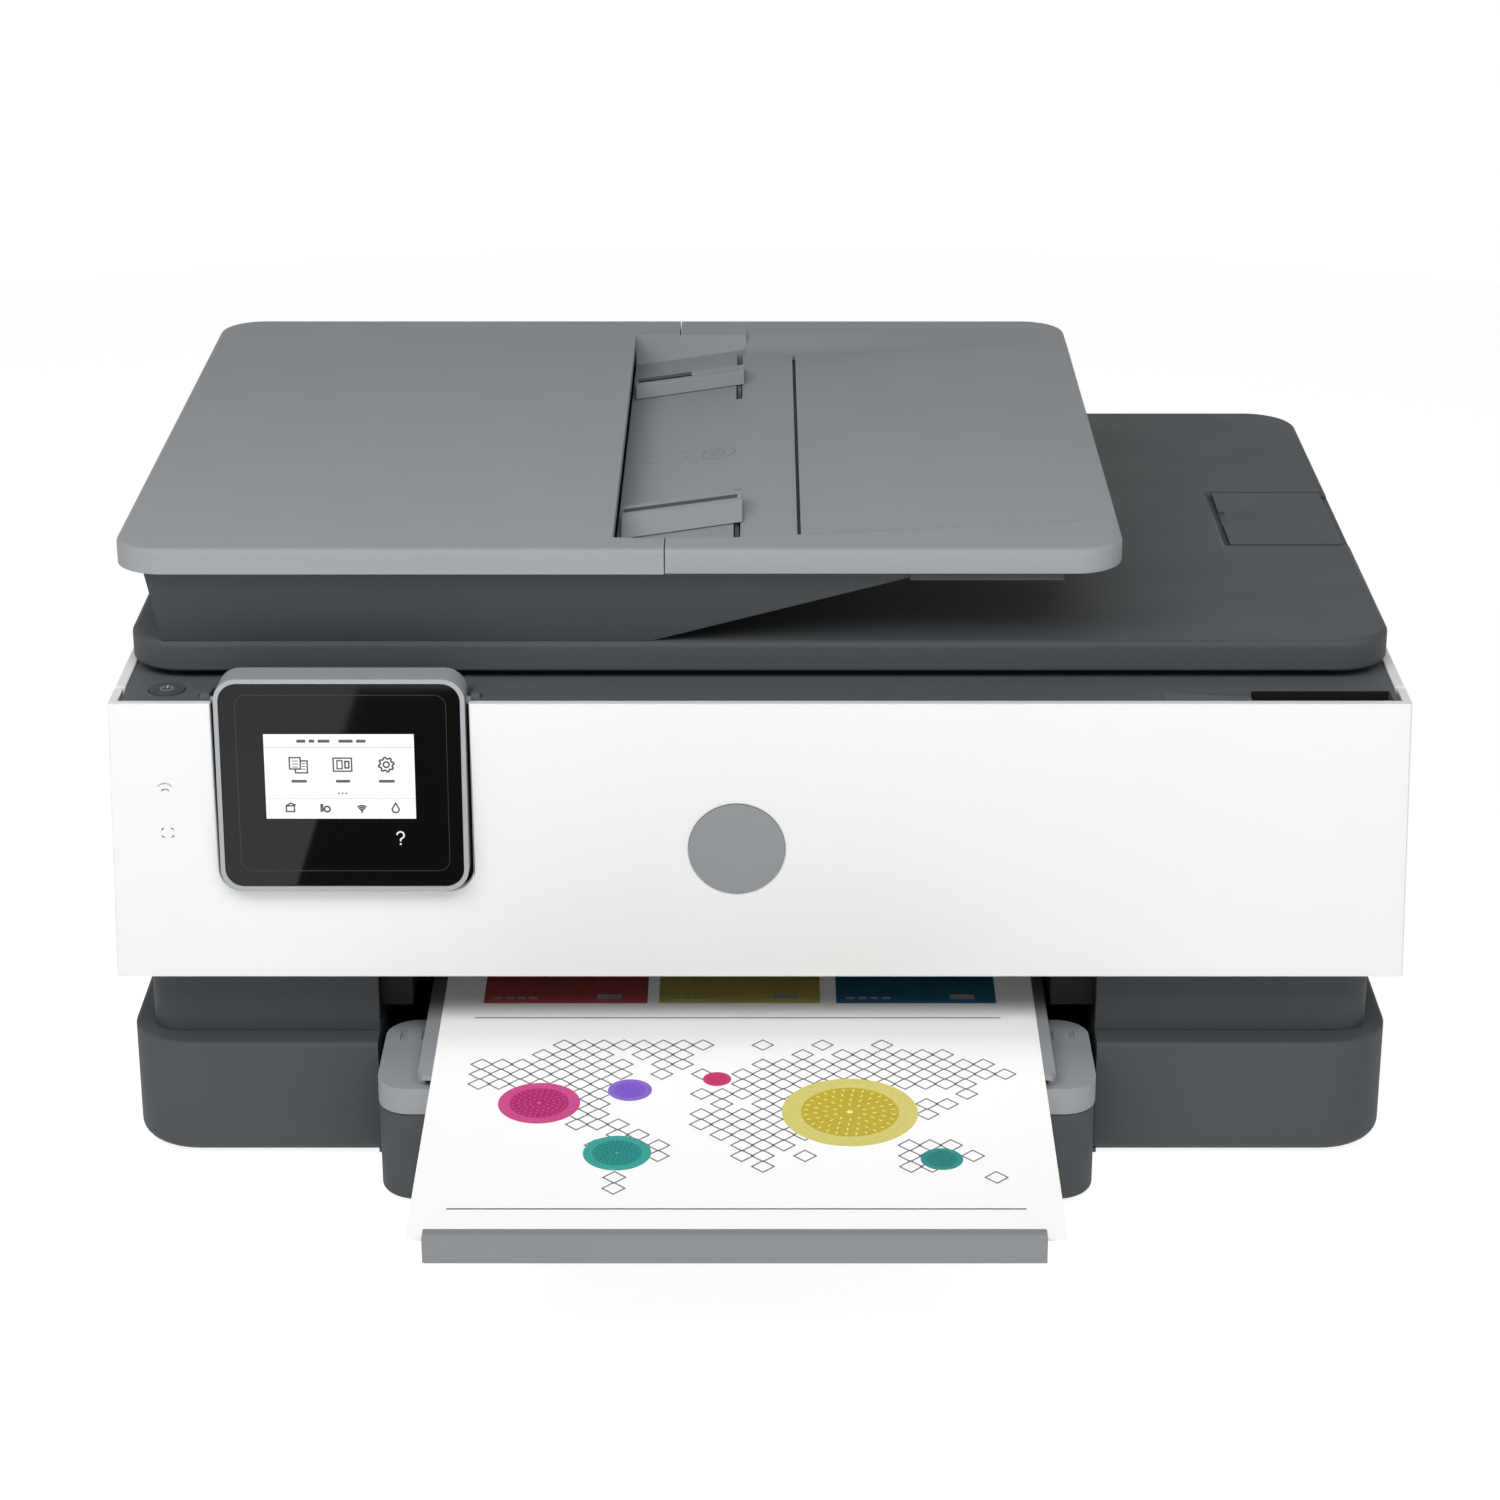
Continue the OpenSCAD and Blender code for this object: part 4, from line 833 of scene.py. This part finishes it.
def guide_top(x):
    """Height of the guides' upper face."""
    return 227.34 + (x + 49.7) * 0.1396


# painted shadow: a dark strip along the top of each guide
for name, body, x1, y0 in (("guide_painted_shadow_front", "feeder_guide_front", -8.2, 69.4),
                           ("guide_painted_shadow_rear", "feeder_guide_rear", -27.5, 239.2)):
    decals(name, [rect_outline(-49.0, y0, x1, y0 + 4.0)], lambda u, v, h: P(u, v, guide_top(u) + h),
           body, "inner_black", MAT["inner_black"], -0.5, 0.06)

# raised marks on the floor of the pocket: a sheet and a ring
pocket_marks = stroke(rect_outline(-42.5, 144.0, -28.2, 152.2, 1.0, 3), 0.6, True)
pocket_marks += stroke([(-39.5, 148.1), (-31.5, 148.1)], 0.6)
for radius, n in ((6.2, 28), (2.6, 18)):
    pocket_marks += stroke(disc_outline(-15.6, 144.3, radius, n), 0.6, True)
decals("pocket_marks", pocket_marks, lambda u, v, h: P(u, v, pocket_floor(u) + h),
       "scanner_lid", "grey_case", MAT["grey_case"], -0.1, 0.14)

# every other node keeps its CAD shape: its material and the width of its edge bevel
for node, width in (
    ("side_panel_left", 0.6), ("side_panel_right", 0.6), ("inner_frame", 0.4), ("rear_panel", 0.4),
    ("lid_hinge_posts", 0.3), ("scanner_glass", 0.15), ("scanner_tub", 0.3),
    ("scan_rail", 0.2), ("print_rail", 0.2), ("encoder_strip", 0), ("carriage_belt", 0),
    ("paper_chute", 0.4), ("rear_paper_guide", 0.2), ("transport_belt", 0), ("service_station", 0.5),
    ("main_board", 0), ("port_block", 0.2), ("power_supply", 0.4), ("drive_motors", 0.4),
    ("pickup_arm", 0.3), ("case_screws", 0.15), ("door_liner", 0.4), ("door_badge", 0.25),
    ("panel_glass", 0.3), ("display", 0), ("panel_back", 0.4), ("power_button", 0.4),
    ("lid_liner", 0.3), ("lid_pad", 0.5), ("adf_pick_roller", 0.3), ("adf_feed_roller", 0.3),
    ("guide_pinion", 0), ("adf_extension", 0.9),
    ("document_stop", 0.35), ("paper_guide_left", 0.4), ("paper_guide_right", 0.4),
    ("printed_sheet", 0), ("scan_head", 0.3), ("carriage", 0.5), ("ink_cartridges", 0.5),
    ("drive_pulley", 0.15), ("idler_pulley", 0.15), ("feed_roller", 0), ("exit_roller", 0.3),
    ("motor_pinion", 0), ("pickup_roller", 0.3), ("feet", 0.3),
):
    dress(node, width)
# painted sheen: the top deck gets a lighter copy of the dark plastic
dress("top_deck", 0.35, moulded("deck_painted_sheen", srgb(84, 89, 93), 0.62, 0.02, 1900, 0.3, 0.12))

# ---------------------------------------------------------------- control panel

LEAN = math.radians(-3.5)
TILT = (9.5, 178.1)             # y and z of the panel's tilt axis


def on_panel(u, v, h):
    """Point on the leaned glass: u = x, v = z before the lean, h in front of the glass."""
    y, z = -0.6 - h - TILT[0], v - TILT[1]
    cos, sin = math.cos(LEAN), math.sin(LEAN)
    return P(u, TILT[0] + y * cos - z * sin, TILT[1] + y * sin + z * cos)


def on_screen(u, v, h):
    """Point on the display: millimetres from its lower left corner."""
    return on_panel(-173.1 + u, 137.6 + v, h - 0.02)


INK_UI = lit("display_ink", srgb(104, 108, 114), 0.2)
INK_DIM = lit("display_line", srgb(206, 209, 213), 0.5)
KEY = lit("key_white", srgb(235, 238, 240), 0.7)

SCREEN_W, SCREEN_H = 52.5, 31.2


def date_bar(u, widths):
    """Short dashes in place of the date and time. A width of 0 is a gap."""
    out = []
    for w in widths:
        if w:
            out.append(rect_outline(u, SCREEN_H - 3.1, u + w, SCREEN_H - 2.0, 0.3, 2))
        u += w + 1.1 if w else 2.0
    return out


def closed_box(cu, cv, u0, v0, u1, v1, width):
    """Outline of a box whose corners are given from an icon's middle."""
    corners = ((u0, v0), (u1, v0), (u1, v1), (u0, v1))
    return stroke([(cu + u, cv + v) for u, v in corners], width, True)


def copy_icon(cu, cv):
    """Two sheets, one behind the other, with lines on them."""
    out = closed_box(cu, cv, -3.2, -1.6, 0.6, 2.6, 0.55)
    second = ((-1.2, -1.6), (-1.2, -3.0), (3.0, -3.0), (3.0, 1.4), (0.6, 1.4))
    out += stroke([(cu + u, cv + v) for u, v in second], 0.55)
    for k in range(3):
        out.append(rect_outline(cu - 2.4, cv + 1.2 - k * 1.1, cu - 0.2, cv + 1.5 - k * 1.1))
        out.append(rect_outline(cu + 1.1, cv + 0.2 - k * 1.0, cu + 2.4, cv + 0.5 - k * 1.0))
    return out


def scan_icon(cu, cv):
    """A frame with a page in it."""
    return (closed_box(cu, cv, -3.2, -2.4, 3.2, 2.4, 0.55) + closed_box(cu, cv, -1.9, -1.5, -0.1, 1.5, 0.5)
            + closed_box(cu, cv, 0.9, -1.2, 2.2, 1.2, 0.6))


def cog_icon(cu, cv, points=32):
    cog = []
    for i in range(points):
        r = 2.7 if (i // 2) % 2 == 0 else 2.15
        a = 2 * math.pi * (i + 0.5) / points
        cog.append((cu + r * math.cos(a), cv + r * math.sin(a)))
    return stroke(cog, 0.6, True) + stroke(disc_outline(cu, cv, 1.0, 20), 0.55, True)


def box_icon(cu, cv):
    lid = [(cu - 1.5, cv + 0.9), (cu, cv + 1.9), (cu + 1.8, cv + 1.2)]
    return closed_box(cu, cv, -1.5, -1.2, 1.3, 0.9, 0.55) + stroke(lid, 0.55)


def job_icon(cu, cv):
    ring = stroke(disc_outline(cu + 0.8, cv - 0.3, 1.0, 18), 0.6, True)
    return [rect_outline(cu - 1.6, cv - 1.3, cu - 0.5, cv + 1.6)] + ring


def signal_icon(cu, cv):
    out = []
    for r in (0.9, 1.6, 2.3):
        out += stroke(arc(cu, cv - 1.3, r, 50, 130, 8), 0.55)
    return out + stroke([(cu, cv - 1.6), (cu, cv - 0.6)], 0.6)


def drop_icon(cu, cv):
    out = []
    for side in (1, -1):
        out += stroke([(cu, cv + 1.9), (cu + side * 1.2, cv - 0.2)], 0.55)
    return out + stroke(arc(cu, cv - 0.4, 1.2, 180, 360, 12), 0.55)


MAIN_V, LOWER_V = 20.0, 3.9
ui = date_bar(11.5, (3.2, 2.0, 4.2, 0.0, 5.0, 3.4))
ui += copy_icon(12.0, MAIN_V) + scan_icon(27.3, MAIN_V) + cog_icon(42.6, MAIN_V)
# bars in place of labels
for cu, w in ((12.0, 5.4), (27.3, 5.0), (42.6, 5.6)):
    ui.append(rect_outline(cu - w / 2, 13.4, cu + w / 2, 14.4, 0.3, 2))
# page dots
for k in (-1, 0, 1):
    ui.append(disc_outline(27.0 + k * 1.3, 9.4, 0.32, 12))
ui += box_icon(8.6, LOWER_V) + job_icon(20.6, LOWER_V) + signal_icon(33.6, LOWER_V) + drop_icon(45.4, LOWER_V)
decals("display_icons", ui, on_screen, "control_panel", "display", INK_UI, 0.0, 0.05)
decals("display_bars", [rect_outline(0.4, SCREEN_H - 5.0, SCREEN_W - 0.4, SCREEN_H - 4.75),
                        rect_outline(0.4, 7.3, SCREEN_W - 0.4, 7.5)],
       on_screen, "control_panel", "display", INK_DIM, 0.0, 0.045)

# help key
HELP_X = -126.3
mark = arc(HELP_X, 131.5, 1.25, 170, -60, 14) + [(HELP_X, 130.0), (HELP_X, 129.4)]
decals("help_key", stroke(mark, 0.5) + [disc_outline(HELP_X, 128.2, 0.34, 12)], on_panel,
       "control_panel", "display", KEY, 0.0, 0.05)
# faint printed border of the touch area
border = glossy("border_dark", srgb(34, 35, 36), 0.2)
decals("touch_border", stroke(rect_outline(-182.6, 118.2, -109.2, 183.0, 4.0, 6), 0.3, True), on_panel,
       "control_panel", "panel_glass", border, -0.02, 0.015)

# ---------------------------------------------------------------- power button and deck details

POWER = (-208.4, 15.8, 180.1)   # middle of the power button's face


def on_button(u, v, h):
    return P(POWER[0] + u, POWER[1] + v, POWER[2] + h)


power = stroke(arc(0, 0, 2.1, 125, 415, 26), 0.7) + stroke([(0, 0.4), (0, 2.9)], 0.7)
decals("power_symbol", power, on_button, "power_key", "badge",
       lit("symbol_pale", srgb(226, 230, 232), 0.12), -0.05, 0.04)

# painted shade: near-black skins on the back wall, floor and side of the finger grip, and the grey entry ramp
# beside it
GRIP_X = (172.6, 220.7)
RAMP_X = (141.5, 172.2)
grip_shade = joined([box(GRIP_X, (14.55, 14.95), (170.3, 179.3)), box(GRIP_X, (3.4, 14.9), (170.0, 170.3)),
                 box((172.3, 172.7), (3.4, 14.9), (170.2, 177.6))])
mesh_piece("grip_painted_shade", *grip_shade, "chassis", "inner_black",
           moulded("grip_shade_black", srgb(22, 23, 24), 0.7, 0.03, 900, 0.2, 0.1))
ramp_verts = [P(x, y, z) for x, z in ((RAMP_X[0], 179.63), (RAMP_X[1], 178.2)) for y in (3.6, 12.9)]
ramp_verts += [P(x, y, z) for x, z in ((RAMP_X[0], 179.5), (RAMP_X[1], 178.05)) for y in (3.6, 12.9)]
ramp_faces = [[0, 1, 3, 2], [4, 5, 7, 6], [0, 2, 6, 4], [1, 3, 7, 5], [0, 1, 5, 4], [2, 3, 7, 6]]
mesh_piece("grip_ramp", ramp_verts, ramp_faces, "chassis", "dark_case",
           moulded("ramp_grey", srgb(84, 89, 93), 0.5, 0.02, 1900, 0.2))

# faint raised marks on the door: a triangle, two arcs, a dot and a box
MARK_X = -208.6
marks = [[(MARK_X - 2.0, 157.4), (MARK_X + 2.2, 159.6), (MARK_X - 2.0, 161.8)]]
marks += stroke(arc(MARK_X, 147.5, 3.0, 30, 150, 10), 0.5) + stroke(arc(MARK_X, 146.6, 1.7, 30, 150, 8), 0.5)
marks.append(disc_outline(MARK_X, 146.4, 0.5, 12))
marks += stroke(rect_outline(MARK_X - 2.0, 130.0, MARK_X + 2.0, 133.4, 0.6, 3), 0.45, True)
decals("door_marks", marks, lambda u, v, h: P(u, -h, v), "front_door_unit", "white_case", MAT["white_case"],
       -0.1, 0.07)

# ---------------------------------------------------------------- printed sheet

SLOPE = math.radians(2.23)
SHEET_T = 0.3
SHEET_FRONT = (-7.7, -140.8, 47.2)  # middle of the sheet's front edge, at its lower face


def on_sheet(u, v, h):
    """Point on the sheet: u from its middle, v from its front edge, h above its face."""
    cos, sin = math.cos(SLOPE), math.sin(SLOPE)
    up = SHEET_T + h
    return P(SHEET_FRONT[0] + u, SHEET_FRONT[1] + v * cos - up * sin, SHEET_FRONT[2] + v * sin + up * cos)


def print_on_sheet(name, outlines, mat, low, high):
    decals(name, outlines, on_sheet, "output_extension", "sheet_paper", mat, low, high)


BARS = [
    ("bar_red", -93.5, -33.5, srgb(238, 112, 108)),
    ("bar_yellow", -29.3, 29.8, srgb(250, 236, 132)),
    ("bar_blue", 35.6, 94.2, srgb(62, 134, 170)),
]
for name, u0, u1, color in BARS:
    bar = rect_outline(u0, 164.5, u1, 205)
    print_on_sheet("sheet_" + name, [bar], ink("ink_" + name, color), -0.05, 0.03)
lines = [rect_outline(-95.9, 152.8, 95.0, 153.5), rect_outline(-95.9, 19.2, 95.7, 20.0)]
print_on_sheet("sheet_rules", lines, ink("ink_rule", srgb(96, 98, 102)), -0.05, 0.03)
# pale dashes and a block on each bar, in place of words
small = []
for k in range(3):
    left = -90.0 + k * 64.7
    for i in range(4):
        small.append(rect_outline(left + i * 4.3, 167.8, left + i * 4.3 + 3.2, 169.4))
    small.append(rect_outline(left + 38.0, 167.8, left + 47.0, 171.4))
print_on_sheet("sheet_marks", small, ink("ink_pale", srgb(226, 214, 210)), 0.0, 0.06)

# lattice of open diamonds that draws a world map: for each row, runs of cells
PITCH = 7.12
MAP_ROWS = [
    [(0, 7), (10, 10), (13, 13), (16, 16)],
    [(-1, 2), (4, 6), (12, 12), (14, 19)],
    [(-4, -2), (-1, 3), (5, 6), (10, 21)],
    [(-4, 3), (5, 5), (7, 7), (9, 22)],
    [(-4, 2), (9, 20)],
    [(-1, 2), (7, 12), (20, 20)],
    [(1, 2), (8, 8), (10, 12), (18, 19)],
    [(1, 2), (7, 12), (18, 18)],
    [(1, 3), (7, 12)],
    [(3, 4), (8, 12)],
    [(2, 2), (4, 5), (9, 11), (17, 19)],
    [(4, 5), (9, 10), (12, 12), (17, 18), (20, 20)],
    [(10, 10), (17, 18)],
    [(3, 3), (21, 21)],
    [(3, 3)],
]
HALF_CELL = 3.8
cells = []
for row, runs in enumerate(MAP_ROWS):
    v = 132.5 - row * PITCH
    for first, last in runs:
        for k in range(first, last + 1):
            u = -62.5 + k * PITCH
            diamond = [(u - HALF_CELL, v), (u, v - HALF_CELL), (u + HALF_CELL, v), (u, v + HALF_CELL)]
            cells += stroke(diamond, 0.62, True)
print_on_sheet("sheet_lattice", cells, ink("ink_lattice", srgb(112, 114, 118)), -0.05, 0.03)

DISCS = [
    ("magenta", -69.1, 90.4, 14.3, srgb(206, 72, 138), srgb(176, 34, 106)),
    ("violet", -37.8, 99.6, 7.7, srgb(140, 104, 206), srgb(124, 84, 200)),
    ("pink", -7.4, 107.5, 5.0, srgb(204, 60, 116), srgb(196, 50, 104)),
    ("yellow", 38.8, 84.1, 23.6, srgb(216, 206, 116), srgb(196, 174, 50)),
    ("teal", -40.8, 56.1, 11.6, srgb(50, 160, 152), srgb(20, 128, 124)),
    ("teal_small", 69.2, 52.0, 7.2, srgb(40, 140, 136), srgb(24, 122, 120)),
]


def disc_rays(cu, cv, r):
    """Rings of short rays, and a dot in the middle."""
    out = []
    for ring, count in ((0.2, 10), (0.34, 16), (0.48, 22), (0.62, 28)):
        for i in range(count):
            a = 2 * math.pi * (i + 2.5 * ring) / count
            ray = [(cu + r * part * math.cos(a), cv + r * part * math.sin(a)) for part in (ring, ring + 0.05)]
            out += stroke(ray, r * 0.02)
    out.append(disc_outline(cu, cv, max(0.35, r * 0.05), 12))
    return out


# each disc: its name, its middle, its radius, and the colours of its ring and its core
for name, cu, cv, r, outer, inner in DISCS:
    layers = (
        ("disc", "ink_", [disc_outline(cu, cv, r, 72)], outer, -0.05, 0.06),
        ("core", "ink_core_", [disc_outline(cu, cv, r * 0.72, 60)], inner, -0.05, 0.09),
        ("dots", "ink_dot_", disc_rays(cu, cv, r), scaled(outer, 1.4), 0.0, 0.12),
    )
    for part, ink_name, outlines, color, low, high in layers:
        print_on_sheet("sheet_" + part + "_" + name, outlines, ink(ink_name + name, color), low, high)
